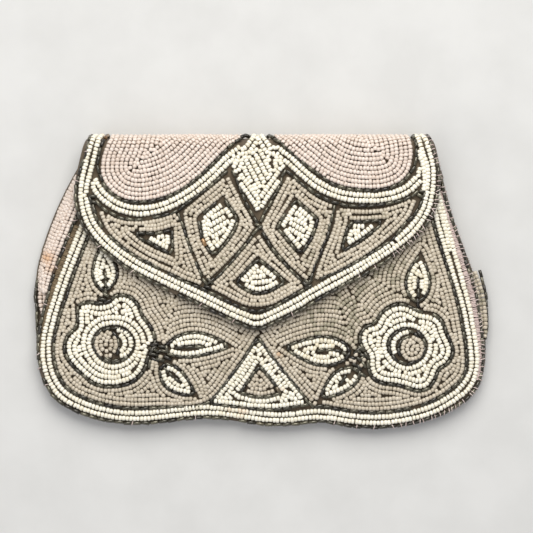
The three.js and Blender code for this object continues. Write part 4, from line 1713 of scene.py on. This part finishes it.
def cloth_material(fine: bpy.types.NodeTree) -> bpy.types.Material:
    """Makes the tan cloth: two crossing waves of threads, with uneven dye and a faint sheen, in colours
    darkened well below its tan as painted shade in the gaps between beads and bugles.

    Args:
        fine: the group of fine unevenness.

    Returns:
        The material.
    """
    material, sheet, shader = new_material("tan cloth")
    waves = {"Vector": sheet.place(), "Scale": 640.0, "Distortion": 0.6}
    warp, weft = (
        sheet.add("ShaderNodeTexWave", waves, bands_direction=way).outputs["Fac"] for way in ("X", "Y")
    )
    weave = sheet.math("MULTIPLY", warp, weft)
    dye = sheet.math("MULTIPLY", sheet.group(fine, Scale=160.0)["Mask"], 0.5)
    shade = sheet.math("ADD", sheet.math("MULTIPLY", weave, 0.5), dye)
    relief = {"Height": weave, "Strength": 0.5, "Distance": 0.0003}
    finish = {
        # darker than the cloth's own tan: painted shade in the gaps between beads and bugles
        "Base Color": sheet.mix(shade, rgba((0.06, 0.042, 0.025)), rgba((0.2, 0.148, 0.092))),
        "Normal": sheet.add("ShaderNodeBump", relief).outputs["Normal"],
        "Roughness": 0.85,
        "Sheen Weight": 0.2,
    }
    sheet.fill(shader, finish)
    return material


def steel_material(fine: bpy.types.NodeTree) -> bpy.types.Material:
    """Makes the snap's metal, dulled unevenly by age.

    Args:
        fine: the group of fine unevenness.

    Returns:
        The material.
    """
    material, sheet, shader = new_material("aged steel")
    mask = sheet.group(fine, Scale=700.0)["Mask"]
    finish = {
        "Base Color": sheet.mix(mask, rgba((0.3, 0.27, 0.23)), rgba((0.6, 0.59, 0.56))),
        "Roughness": sheet.span(mask, 0.0, 1.0, 0.55, 0.28),
        "Metallic": 1.0,
    }
    sheet.fill(shader, finish)
    return material


class Wardrobe:
    """All the finishes, made once."""

    def __init__(self) -> None:
        """Makes the groups and the materials."""
        glaze = bead_glaze()
        self.fine = grain()
        self.ivory = IVORY.material(glaze)
        self.grey = GREY.material(glaze)
        self.rose = ROSE.material(glaze)
        self.dark = DARK.material(glaze)
        self.pale_thread = thread_material("pale thread", *PALE_THREAD, self.fine)
        self.shade_thread = thread_material("tan thread", *SHADE_THREAD, self.fine)
        self.cloth = cloth_material(self.fine)
        self.steel = steel_material(self.fine)

    def of(self, slot: Slot) -> bpy.types.Material:
        """Returns the glass of a slot's seed beads."""
        return {Slot.IVORY: self.ivory, Slot.GREY: self.grey, Slot.ROSE: self.rose}[slot]


# Half the width of an edge's strip, and the fewest samples that make a line of bugles
EDGE_HALF = 0.65
LEAST_RUN = 20


def strip_lines(region: list[Outline]) -> list[Array]:
    """Finds the middle of a narrow strip round a panel: its outer side moved in by half its width.

    The outer side is where the inward normal points towards the middle of the strip's box.

    Args:
        region: the strip's outlines.

    Returns:
        The lines, each from end to end of an unbroken stretch.
    """
    lines = []
    for outline in region:
        middle = (outline.points.min(axis=0) + outline.points.max(axis=0)) / 2
        outer = (outline.inward * (middle - outline.points)).sum(axis=1) > 0
        moved = outline.points + outline.inward * EDGE_HALF
        runs = RowFill.runs(moved, outer & outline.live)
        lines += [run for run in runs if len(run) > LEAST_RUN]
    return lines


# The strips of strands at the front's edges: the side, its sign in x, and where it begins and ends in y.
# The left strip, in dark thread, stands in for the shade along that edge
STRAND_STRIPS = (("right", 1, -42.0, 38.0), ("left", -1, -35.0, 24.0))


@dataclass
class Beadwork:
    """What is sewn on one panel: fields of seed beads, and the lines of bugles round them."""

    form: Form
    wardrobe: Wardrobe
    panel: Panel
    lines: list[Array] = field(default_factory=list)

    def field_of(
        self, node: str, slot: Slot, grade: Grade | None = None, more: float = 0.0, **how: float
    ) -> bpy.types.Object:
        """Fills a node's region with beads of a slot's kind, clear of the bugles.

        Args:
            node: the node that the beads stand for.
            slot: the kind of bead.
            grade: the beads' size, or None for the kind's own.
            more: how far the beads go past the region's outline.
            how: settings of RowFill that differ from the usual ones.

        Returns:
            The field.
        """
        ivory = slot is Slot.IVORY
        grade = grade or (IVORY_GRADE if ivory else GREY_GRADE)
        row = IVORY_ROW if ivory else GROUND_ROW
        clear = np.concatenate(self.lines) if self.lines else None
        region = self.form.region(node, self.panel)
        if more:
            region = [Outline.through(outline.grown(more)[:-1:3]) for outline in region]
        how = {"first": FIRST_ROWS[0 if ivory else 1], **how}
        spots, ways = RowFill(region, row, BEAD_STEP, clear, **how).spots()
        piece = lay_beads(f"{node}_sewn", grade, self.form, self.panel, spots, ways)
        return finish_piece(piece, self.wardrobe.of(slot), node)

    def rows_of(self, name: str, lines: list[Array], node: str | None = None) -> bpy.types.Object:
        """Lays rows of ivory beads along lines of the chart.

        Args:
            name: the piece's name.
            lines: the rows, as lines of the chart.
            node: the node that the beads stand for, if any.

        Returns:
            The rows.
        """
        spots, ways, _ = divided(lines, BEAD_STEP)
        piece = lay_beads(name, IVORY_GRADE, self.form, self.panel, spots, ways)
        return finish_piece(piece, self.wardrobe.ivory, node)

    def bugles(self, name: str, lines: list[Array], node: str | None = None) -> bpy.types.Object:
        """Lays bugles along lines of the panel's chart.

        Args:
            name: the piece's name.
            lines: the lines.
            node: the node that the bugles stand for, if any.

        Returns:
            The bugles.
        """
        piece = lay_bugles(name, self.form, self.panel, lines)
        return finish_piece(piece, self.wardrobe.dark, node)

    def around(self, *nodes: str) -> list[Array]:
        """Draws the lines that run round nodes in the middle of the groove outside them.

        Args:
            nodes: the nodes.

        Returns:
            The lines.
        """
        regions = [self.form.region(node, self.panel) for node in nodes]
        return [outline.grown(GROOVE / 2) for region in regions for outline in region]

    def edge_bugles(self, node: str) -> None:
        """Lays the bugles of an edge and the loops of thread over them.

        Args:
            node: the edge's node, a strip one bugle wide.
        """
        lines = strip_lines(self.form.region(node, self.panel))
        self.bugles(f"{node}_sewn", lines, node)
        stitches = edge_stitches(f"{node}_stitches", self.form, self.panel, lines)
        finish_piece(stitches, self.wardrobe.pale_thread)
        if self.panel is Panel.FRONT:
            # The left strip's dark thread is painted shade along the front's left edge
            threads = (self.wardrobe.pale_thread, self.wardrobe.shade_thread)
            for (end, side, low, high), thread in zip(STRAND_STRIPS, threads):
                name = f"front_edge_strands_{end}"
                strands = strand_strip(name, self.form, lines, side, low, high)
                finish_piece(strands, thread)

    def traced(self, pixels: Iterable[tuple[float, float]]) -> Array:
        """Returns a smooth line of the chart through points read from the photograph."""
        return smooth_line(self.form.unroll(photo_points(pixels), self.panel, STAND_OFF + 1.0))

    def traced_all(self, *tables: Iterable) -> list[Array]:
        """Returns the smooth lines of tables of lines read from the photograph."""
        return [self.traced(line) for table in tables for line in table]


# Lines of bugles on the flap, as pixels of the photograph
FLAP_INNER = (
    (89, 196), (92, 203), (96, 216), (102, 225), (107, 233), (126, 250), (135, 256), (153, 265),
    (170, 274), (186, 282), (206, 290), (222, 298), (240, 307), (256, 311), (270, 308), (280, 304),
    (290, 297), (308, 287), (325, 277), (345, 268), (362, 259), (376, 250), (392, 240), (405, 223),
    (412, 217), (421, 203), (424, 192),
)
SWAG_UPPER_LEFT = (
    (107.5, 134), (106, 138), (103.3, 143), (101, 149), (99.3, 155), (98.5, 160), (98.5, 166),
    (100, 173), (103.5, 183), (106.5, 188), (110.5, 192.5), (114.5, 196), (119, 199), (125.5, 201),
    (133, 202.3), (147, 202.3), (155, 200.5), (169, 196.7), (183, 189.5), (193, 181), (200, 176),
    (213, 164), (225, 151), (236, 142), (243, 137), (250, 134),
)
SWAG_UPPER_RIGHT = (
    (267, 134), (273, 138), (280, 143), (291, 153), (303, 163), (317, 173), (333, 184), (348, 189),
    (365, 191), (385, 189.5), (399, 184.5), (405.5, 178.7), (409.7, 173.5), (413.4, 168), (415.4, 162),
    (415.9, 155), (415, 142), (412.5, 134),
)
SWAG_LOWER_LEFT = (
    (96, 200), (104, 209), (116, 216), (130, 220), (138, 220.5), (152, 218), (168, 215), (175, 213),
    (183, 206), (197, 197), (210, 187), (222, 176), (228, 171),
)
SWAG_LOWER_RIGHT = (
    (286, 170), (297, 180), (308, 189), (321, 197), (335, 203), (352, 206), (372, 206), (391, 203),
    (407, 199), (418, 191),
)
PEAK_LEFT = ((232, 170), (236, 178), (239, 187), (243, 196), (251, 211), (258, 224))
PEAK_RIGHT = ((286, 170), (282, 178), (279, 187), (275, 195), (266, 211), (260, 222))
LATTICE = (
    ((178, 213), (183, 227), (189, 244), (196, 262), (203, 279), (207, 284)),
    ((258, 228), (243, 248), (229, 265), (214, 280), (208, 284)),
    ((334, 205), (331, 220), (327, 236), (320, 253), (314, 268), (310, 281)),
    ((262, 232), (272, 248), (284, 263), (297, 277), (309, 287)),
)
FLAP_CLUSTERS = (
    ((89, 196), (97, 197)), ((91, 200), (98, 203)), ((418, 190), (425, 192)), ((416, 194), (423, 197)),
    ((93, 206), (97, 214)), ((202, 278), (208, 285)), ((207, 278), (213, 284)),
    ((204, 285), (212, 288)), ((306, 284), (312, 279)), ((304, 279), (310, 284)),
    ((255, 223), (261, 227)), ((256, 229), (263, 226)),
)
FLAP_FIGURES = {
    "flap_kite_left": 30,
    "flap_kite_right": -30,
    "flap_fan": 8,
    "flap_triangle_left": 0,
    "flap_triangle_right": 0,
}
FLAP_CELLS = (
    "flap_cell_left_side", "flap_cell_left", "flap_cell_right", "flap_cell_right_side",
    "flap_cell_bottom",
)

# Lines of bugles on the front: the veins of the leaves, the crescents' inner arcs and dark clusters
VEINS = (
    ((105, 272), (106, 296)), ((204, 347), (190, 346.5), (175, 348)),
    ((163, 367), (172, 375), (180, 382)), ((418, 278), (418, 308)),
    ((317, 351), (336, 350), (349, 355)), ((347, 375), (340, 384)),
)
CRESCENT_ARCS = (
    ((112.5, 331), (119.7, 343), (116.5, 355)), ((410, 336), (402, 339), (397.5, 347), (400.5, 356)),
    ((407, 331), (414, 332.5), (419, 337)), ((104, 357), (111, 360.3), (119, 359.8)),
)
CRESCENT_ROWS = {
    "flower_left_crescent": (
        ((117, 329.5), (124, 331), (129, 336), (131.5, 343), (130.5, 349), (126, 354), (119.5, 356)),
        ((120, 334.5), (123.8, 339), (125.2, 344), (123.8, 349), (120.5, 351.5)),
    ),
    "flower_right_crescent": (
        ((409, 332), (403, 333), (397, 337), (393.5, 343), (393, 348), (395, 354)),
    ),
}
FRONT_CLUSTERS = (
    ((148, 347), (158, 351)), ((148, 353), (158, 356)), ((160, 350), (168, 352)),
    ((150, 359), (149, 368)), ((155, 358), (165, 361)), ((164, 355), (172, 360)),
    ((355, 350), (361, 353)), ((356, 357), (362, 361)), ((357, 364), (362, 370)),
    ((352, 362), (358, 366)), ((353, 353), (361, 348)), ((358, 360), (364, 356)),
    ((353, 368), (359, 371)), ((359, 372), (366, 377)), ((149, 350), (157, 346)),
    ((156, 353), (163, 350)), ((98, 298), (107, 300)), ((411, 309), (420, 311)),
    ((150, 345), (159, 343.5)), ((158, 345.5), (166, 348)), ((151, 357), (159, 361.5)),
    ((357, 346.5), (364, 350.5)), ((359.5, 353.5), (366, 357)), ((361.5, 361), (365.5, 368)),
    ((349.5, 356.5), (356, 358.5)), ((102, 292), (109, 297)), ((414, 305), (421, 307.5)),
)

# Third rows of beads at the right, where the borders are wider than two
FLAP_THIRD_ROW = ((418.6, 150), (421.2, 161), (423.3, 169.5), (424.2, 177.5), (424, 185.5), (423, 191))
FRONT_THIRD_ROW = ((438, 203), (441.3, 214), (443.8, 222.5), (447, 236.5), (450.3, 251))

# What shows of the back's rim past the front's edges, at its two sides
RIM_BEADS_RIGHT = ((474, 272), (479, 285), (482.5, 300), (484, 311), (484.7, 326), (484.3, 338))
RIM_BEADS_LEFT = ((42, 280), (41, 290), (40.5, 300), (42, 309), (44, 315))
RIM_BUGLES = (
    ((35.5, 280), (34, 290), (33.5, 296), (35, 308), (35.5, 328), (37.5, 343), (39, 358), (40, 367)),
    ((485.8, 341), (486.3, 346), (485.3, 351), (483.8, 361)),
    ((481, 270), (485, 283), (487.5, 298), (488.5, 312), (488.5, 326), (487, 340)),
)


@dataclass
class Flap(Beadwork):
    """The flap's beadwork: edge, border, swags, scallops and lattice."""

    panel: Panel = Panel.FLAP

    def build(self) -> None:
        """Lays the lines of bugles, then the fields between them."""
        upper, lower = (SWAG_UPPER_LEFT, SWAG_UPPER_RIGHT), (SWAG_LOWER_LEFT, SWAG_LOWER_RIGHT)
        swags = self.traced_all(upper, lower, (PEAK_LEFT, PEAK_RIGHT))
        lattice = self.traced_all([FLAP_INNER], LATTICE)
        figures = self.around(*FLAP_FIGURES)
        self.bugles("flap_swag_bugles", swags)
        self.bugles("flap_lattice_bugles", lattice + self.traced_all(FLAP_CLUSTERS))
        self.bugles("flap_figure_bugles", figures)
        self.edge_bugles("flap_edge_bugles")
        self.lines = swags + lattice + figures
        self.field_of("flap_border_beads", Slot.IVORY, first=0.5)
        self.rows_of("flap_border_third_row", [self.traced(FLAP_THIRD_ROW)])
        self.field_of("flap_swag_beads", Slot.IVORY, first=0.49, rows=2, slant=-62)
        for side in ("left", "right"):
            self.field_of(f"flap_scallop_{side}", Slot.ROSE, first=0.2)
        for node in FLAP_CELLS:
            self.field_of(node, Slot.GREY)
        for node, slant in FLAP_FIGURES.items():
            self.field_of(node, Slot.IVORY, rows=1, slant=slant)


@dataclass
class Front(Beadwork):
    """The front's beadwork: edge, border, ground, flowers, leaves and the three-cornered figure."""

    panel: Panel = Panel.FRONT

    def build(self) -> None:
        """Lays the lines of bugles, then the fields between them."""
        sides = ("left", "right")
        petals = [f"flower_{side}_petals" for side in sides]
        discs = [f"flower_{side}_disc" for side in sides]
        leaves = [f"leaf_{side}_{part}" for side in sides for part in ("top", "side", "low")]
        extra = self.traced_all(VEINS, CRESCENT_ARCS, FRONT_CLUSTERS)
        self.bugles("front_flower_bugles", self.around(*petals) + extra)
        self.bugles("front_leaf_bugles", self.around(*leaves))
        self.bugles("front_triangle_bugles", self.around("front_triangle"))
        ground = self.form.region("front_ground", self.panel)
        outer = max(ground, key=lambda o: np.ptp(o.points[:, 0]))
        self.bugles("front_inner_bugles", [outer.grown(GROOVE / 2)])
        self.edge_bugles("front_edge_bugles")
        self.lines = clusters = self.traced_all(FRONT_CLUSTERS)
        self.field_of("front_border_beads", Slot.IVORY, first=0.46, free=9.0)
        for node in petals:
            self.field_of(node, Slot.IVORY, rows=2, slant=20)
        self.field_of("front_triangle", Slot.IVORY, more=0.35)
        self.lines = clusters + self.traced_all(VEINS)
        for node in leaves:
            self.field_of(node, Slot.IVORY, more=0.45, clear_by=1.4)
        self.lines = clusters
        for node, rows in CRESCENT_ROWS.items():
            self.rows_of(f"{node}_sewn", self.traced_all(rows), node)
        self.rows_of("front_border_third_row", [self.traced(FRONT_THIRD_ROW)])
        for node in discs:
            self.field_of(node, Slot.GREY, more=0.35)
        for node in ("front_triangle_core", "front_ground"):
            self.field_of(node, Slot.GREY)


@dataclass
class Back(Beadwork):
    """The back's beadwork, plain: edge, border and ground."""

    panel: Panel = Panel.BACK

    def build(self) -> None:
        """Lays the edge's bugles, the border and the ground."""
        self.edge_bugles("back_edge_bugles")
        ground = self.form.region("back_ground", self.panel)
        self.bugles("back_inner_bugles", [ground[0].grown(GROOVE / 2)])
        self.field_of("back_border_beads", Slot.IVORY, free=0.8)
        self.field_of("back_ground", Slot.GREY, BACK_GRADE)


@dataclass
class Gusset(Beadwork):
    """A side gusset's beads, in rows along its seams."""

    row: float = 1.8

    def build(self) -> None:
        """Fills the gusset's strip."""
        node = f"{self.panel.value}_beads"
        region = self.form.region(node, self.panel)
        spots, ways = RowFill(region, self.row, BEAD_STEP).spots()
        piece = lay_beads(f"{node}_sewn", GREY_GRADE, self.form, self.panel, spots, ways)
        finish_piece(piece, self.wardrobe.rose, node)


# The rim's bugles, how unevenly they are strung, and how far apart
RIM_GRADE = Grade(BUGLE, 3.4, 1.4, 1.4, 0.04)
RIM_HAND = Hand(0.08, 0.0, 0.1)
RIM_GAP = 0.1


@dataclass
class Rim:
    """What is sewn on the back's rim where it shows past the front: two rows of beads and bugles."""

    wardrobe: Wardrobe
    level: float = 5.0
    bugle_level: float = 4.35
    shifts: tuple[float, float] = (-0.9, 0.8)

    def build(self) -> None:
        """Strings the rows."""
        sides = (("right", RIM_BEADS_RIGHT, Slot.GREY), ("left", RIM_BEADS_LEFT, Slot.ROSE))
        for side, line, slot in sides:
            beads = self.rows(f"rim_seed_beads_{side}", GREY_GRADE, [line], self.shifts)
            finish_piece(beads, self.wardrobe.of(slot))
        bugles = self.rows("rim_bugles", RIM_GRADE, RIM_BUGLES, (0.0,))
        finish_piece(bugles, self.wardrobe.dark)

    def rows(
        self, name: str, grade: Grade, lines: Iterable[tuple], shifts: tuple[float, ...]
    ) -> bpy.types.Object:
        """Strings beads along lines, each line doubled at sideways shifts.

        Args:
            name: the piece's name.
            grade: the beads.
            lines: lines as pixels of the photograph.
            shifts: how far to the side each copy of a line lies.

        Returns:
            The joined beads.
        """
        rng = dice(name)
        spots, ways = [], []
        for line in lines:
            middle, way, _ = divided([smooth_line(photo_points(line))], grade.length + RIM_GAP)
            side = np.column_stack([way[:, 1], -way[:, 0]])
            for shift in shifts:
                spots.append(middle + side * shift)
                ways.append(way)
        flat, way = np.concatenate(spots), np.concatenate(ways)
        count = len(flat)
        flat = flat + rng.normal(0, RIM_HAND.place, (count, 2))
        level = self.bugle_level if grade.shape is BUGLE else self.level
        heights = level + rng.normal(0, RIM_HAND.seat, count)
        size = rng.normal(1, grade.spread, (3, count))
        centres = np.column_stack([flat, heights])
        return Strung(
            name,
            grade.shape,
            centres,
            np.column_stack([way, np.zeros(count)]),
            np.tile([0.0, 0, 1], (count, 1)),
            grade.measures * size,
            rng.random(count),
            marked(centres, STAINS),
        ).build()


# Where the front's rings meet; how far past the parting the wrap's meet, and how they crowd there
FRONT_MIDDLE = (0.0, -6.0)
WRAP_SHIFT = 1.5
WRAP_POWER = 1.35


@dataclass
class Cloth:
    """The cloth sheets, each a grid of rings between its outline and a middle point, with its wall."""

    form: Form
    wardrobe: Wardrobe
    rings: int = 44
    step: float = 1.2
    least_cut: float = 10.0
    gusset_grid: tuple[int, int] = (64, 11)
    gusset_step: float = 0.4

    def build(self) -> None:
        """Makes the four sheets and the snap's finish."""
        self.front()
        self.wrap()
        for panel in GUSSETS:
            self.gusset(panel)
        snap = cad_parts["snap_fastener"]
        snap.data.materials.clear()
        snap.data.materials.append(self.wardrobe.steel)

    def disc(self, loop: Array, middle: tuple[float, float], power: float) -> tuple[Array, int]:
        """Spreads rings between a closed line and a point inside it.

        Ring k lies at the point plus the k-th share of the way out, raised to a power, of the outline.

        Args:
            loop: the closed line.
            middle: the point.
            power: above one for narrower rings near the point.

        Returns:
            The spots, ring by ring with the point last, and how many a ring has.
        """
        line = evenly(np.concatenate([loop, loop[:1]]), self.step)[:-1]
        shares = (np.arange(self.rings, 0, -1) / self.rings) ** power
        centre = np.array(middle)
        spots = centre + (line - centre)[None] * shares[:, None, None]
        return np.concatenate([spots.reshape(-1, 2), centre[None]]), len(line)

    def shell(
        self, node: str, outer: Array, normals: Array, faces: list[Array], rim: Array
    ) -> bpy.types.Object:
        """Makes a cloth piece: its inner face lies a wall's thickness below its outer one.

        Args:
            node: the node that it replaces.
            outer: the outer face's points.
            normals: its normals there.
            faces: its quads, and its triangles where it has some.
            rim: its edge, point by point.

        Returns:
            The piece.
        """
        count = len(outer)
        after = np.roll(rim, -1)
        wall = np.column_stack([rim, rim + count, after + count, after])
        quads, *fans = [np.concatenate([group, group[:, ::-1] + count]) for group in faces]
        points = np.concatenate([outer, outer - normals * CLOTH_WALL])
        piece = mesh_object(f"{node}_cloth", points, [np.concatenate([quads, wall]), *fans])
        return finish_piece(piece, self.wardrobe.cloth, node)

    def sheet(
        self, node: str, outer: Array, normals: Array, around: int, loop: Array, held: str
    ) -> None:
        """Makes a sheet from rings of points.

        Args:
            node: the node that it replaces.
            outer: the outer face's points, ring by ring with the middle last.
            normals: its normals there.
            around: how many points a ring has.
            loop: the cut's outline in millimetres; not used.
            held: how the sheet is held; not used.
        """
        bands, _ = tube_faces((len(outer) - 1) // around, around)
        ring = np.arange(around)
        last = ring + len(outer) - 1 - around
        fan = np.column_stack([last, np.roll(last, -1), np.full(around, len(outer) - 1)])
        piece = self.shell(node, outer, normals, [bands, fan], ring)

    @staticmethod
    def area_of(loop: Array) -> float:
        """Works out the area inside a closed line by the shoelace rule.

        Args:
            loop: the line.

        Returns:
            The area, below zero where the line runs clockwise.
        """
        ahead = np.roll(loop, -1, axis=0)
        return float((loop[:, 0] * ahead[:, 1] - loop[:, 1] * ahead[:, 0]).sum()) / 2

    def front(self) -> None:
        """Makes the front of the pocket."""
        region = self.form.region("front_panel", Panel.FRONT, 0)
        loop = max(region, key=lambda o: len(o.points)).points
        spots, around = self.disc(loop, FRONT_MIDDLE, 1.0)
        outer, _, _, normals = self.form.lay(spots, Panel.FRONT)
        self.sheet("front_panel", outer, normals, around, loop, "stretched")

    def wrap(self) -> None:
        """Makes the cloth that is the back, the fold and the flap.

        Its chart is (x, t): t is y on the back, goes on round the fold, and on the flap it is the
        length of the whole turn plus twice the fold line's y less the flap's own s.
        """
        form = self.form
        total = form.back_end + form.flap_end
        back = self.open_line(form.region("wrap_panel", Panel.BACK, 0))
        flap = self.open_line(form.region("wrap_panel", Panel.FLAP, 0))
        flap = np.column_stack([flap[:, 0], total - flap[:, 1]])
        if abs(flap[0, 0] - back[-1, 0]) > abs(flap[-1, 0] - back[-1, 0]):
            flap = flap[::-1]
        loop = np.concatenate([back, flap])
        spots, around = self.disc(loop, (0.0, form.back_end + WRAP_SHIFT), WRAP_POWER)
        outer, _, _, normals = form.lay(spots, Panel.BACK)
        over = spots[:, 1] > form.back_end
        flap_spots = np.column_stack([spots[over, 0], total - spots[over, 1]])
        outer[over], _, _, normals[over] = form.lay(flap_spots, Panel.FLAP)
        if self.area_of(loop) > 0:
            rings = np.arange(len(spots) - 1).reshape(-1, around)
            order = np.append(rings[:, ::-1].ravel(), len(spots) - 1)
            outer, normals = outer[order], normals[order]
        self.sheet("wrap_panel", outer, normals, around, loop, "folded")

    @staticmethod
    def open_line(region: list[Outline]) -> Array:
        """Finds the live part of the longest outline, from its one end to the other.

        Args:
            region: the outlines.

        Returns:
            The line.
        """
        outline = max(region, key=lambda o: len(o.points))
        order = np.roll(np.arange(len(outline.points)), -int(np.argmin(outline.live)))
        return outline.points[order[outline.live[order]]]

    def gusset(self, panel: Panel) -> None:
        """Makes a gusset: rows across it, from the seam with the front to the seam with the back.

        Args:
            panel: the gusset.
        """
        turn = TILTS[panel]
        faces = facing(node_faces(panel.value) @ turn.T, True)
        relief = HeightMap.over(faces, margin=6, step=0.5, blur=0.5)
        loop = max(boundary_loops(faces), key=len)
        rows, columns = self.gusset_grid
        step = self.gusset_step
        y = np.linspace(loop[:, 1].min() + step, loop[:, 1].max() - step, rows)
        crossed, place = crossings(loop, y)
        first = np.where(crossed, place, math.inf).min(axis=1)
        last = np.where(crossed, place, -math.inf).max(axis=1)
        share = np.linspace(0, 1, columns)
        x = first[:, None] + (last - first)[:, None] * share
        spots_y = np.repeat(y[:, None], columns, axis=1)
        slope_x = relief.read(x + step, spots_y) - relief.read(x - step, spots_y)
        slope_y = relief.read(x, spots_y + step) - relief.read(x, spots_y - step)
        steepness = np.stack([-slope_x, -slope_y, np.full_like(x, 2 * step)], axis=-1)
        normals = unit(steepness).reshape(-1, 3) @ turn
        outer = np.stack([x, spots_y, relief.read(x, spots_y)], axis=-1).reshape(-1, 3) @ turn
        grid = np.arange(rows * columns).reshape(rows, columns)
        corners = (grid[:-1, :-1], grid[:-1, 1:], grid[1:, 1:], grid[1:, :-1])
        face = np.stack(corners, axis=-1).reshape(-1, 4)
        rim = np.concatenate([grid[0], grid[1:, -1], grid[-1, -2::-1], grid[-2:0:-1, 0]])
        piece = self.shell(panel.value, outer, normals, [face], rim)


@dataclass(frozen=True)
class Lamp:
    """A soft square light that looks at the purse."""

    name: str
    place: tuple[float, float, float]
    size: float
    power: float
    colour: Colour


LAMPS = (
    Lamp("window", (0.1, 0.75, 0.95), 1.1, 16.8, (1.0, 0.985, 0.94)),
    Lamp("fill", (-0.7, -0.5, 0.9), 1.2, 3.2, (1.0, 0.98, 0.94)),
)


@dataclass
class Studio:
    """The floor, the lights and the camera straight above the middle of the picture.

    At the level a pixel is as wide as in the photograph. Lengths are in metres.
    """

    distance: float = 1.0
    level: float = 0.012
    sensor: float = 36.0
    sky: Colour = (0.92, 0.94, 1.0)
    daylight: float = 0.47

    def build(self, fine: bpy.types.NodeTree) -> None:
        """Sets up the studio.

        Args:
            fine: the group of fine unevenness.
        """
        self.floor(fine)
        for lamp in LAMPS:
            self.light(lamp)
        world = bpy.data.worlds.new("studio")
        world.use_nodes = True
        background = world.node_tree.nodes["Background"]
        Sheet(world.node_tree).fill(background, {"Color": rgba(self.sky), "Strength": self.daylight})
        bpy.context.scene.world = world
        bpy.context.scene.view_settings.view_transform = "Standard"
        self.camera()

    def floor(self, fine: bpy.types.NodeTree) -> None:
        """Makes the plain pale floor.

        Args:
            fine: the group of fine unevenness.
        """
        half = 1500.0
        corners = np.array([[-half, -half, 0], [half, -half, 0], [half, half, 0], [-half, half, 0]])
        floor = mesh_object("floor", corners, [np.array([[0, 1, 2, 3]])], smooth=False)
        material, sheet, shader = new_material("pale floor")
        mask = sheet.group(fine, Scale=40.0)["Mask"]
        colour = sheet.mix(mask, rgba((0.6, 0.595, 0.58)), rgba((0.64, 0.635, 0.62)))
        sheet.fill(shader, {"Base Color": colour, "Roughness": 0.7})
        floor.data.materials.append(material)
        floor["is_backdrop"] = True

    @staticmethod
    def light(lamp: Lamp) -> None:
        """Adds a light and turns it to the purse.

        Args:
            lamp: the light.
        """
        light = bpy.data.lights.new(lamp.name, "AREA")
        light.size = lamp.size
        light.energy = lamp.power
        light.color = lamp.colour
        piece = bpy.data.objects.new(lamp.name, light)
        bpy.context.scene.collection.objects.link(piece)
        piece.location = lamp.place
        x, y, z = (-value for value in lamp.place)
        piece.rotation_euler = (math.atan2(math.hypot(x, y), -z), 0, math.atan2(y, x) - math.pi / 2)

    def camera(self) -> None:
        """Places the camera above the middle of the picture."""
        middle = photo_points([(IMAGE_PIXELS / 2, IMAGE_PIXELS / 2)])[0] * MM
        view = bpy.data.cameras.new("camera")
        view.sensor_width = self.sensor
        view.lens = self.sensor * self.distance / (IMAGE_PIXELS * PIXEL * MM)
        piece = bpy.data.objects.new("camera", view)
        bpy.context.scene.collection.objects.link(piece)
        piece.location = (middle[0], middle[1], self.level + self.distance)
        bpy.context.scene.camera = piece


def main() -> None:
    """Builds the purse and the studio."""
    logging.basicConfig(level=logging.INFO, format="%(message)s")
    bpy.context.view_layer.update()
    form = Form()
    wardrobe = Wardrobe()
    Flap(form, wardrobe).build()
    Front(form, wardrobe).build()
    Back(form, wardrobe).build()
    for panel in GUSSETS:
        Gusset(form, wardrobe, panel).build()
    Rim(wardrobe).build()
    Cloth(form, wardrobe).build()
    Studio().build(wardrobe.fine)


if __name__ == "__main__":
    main()
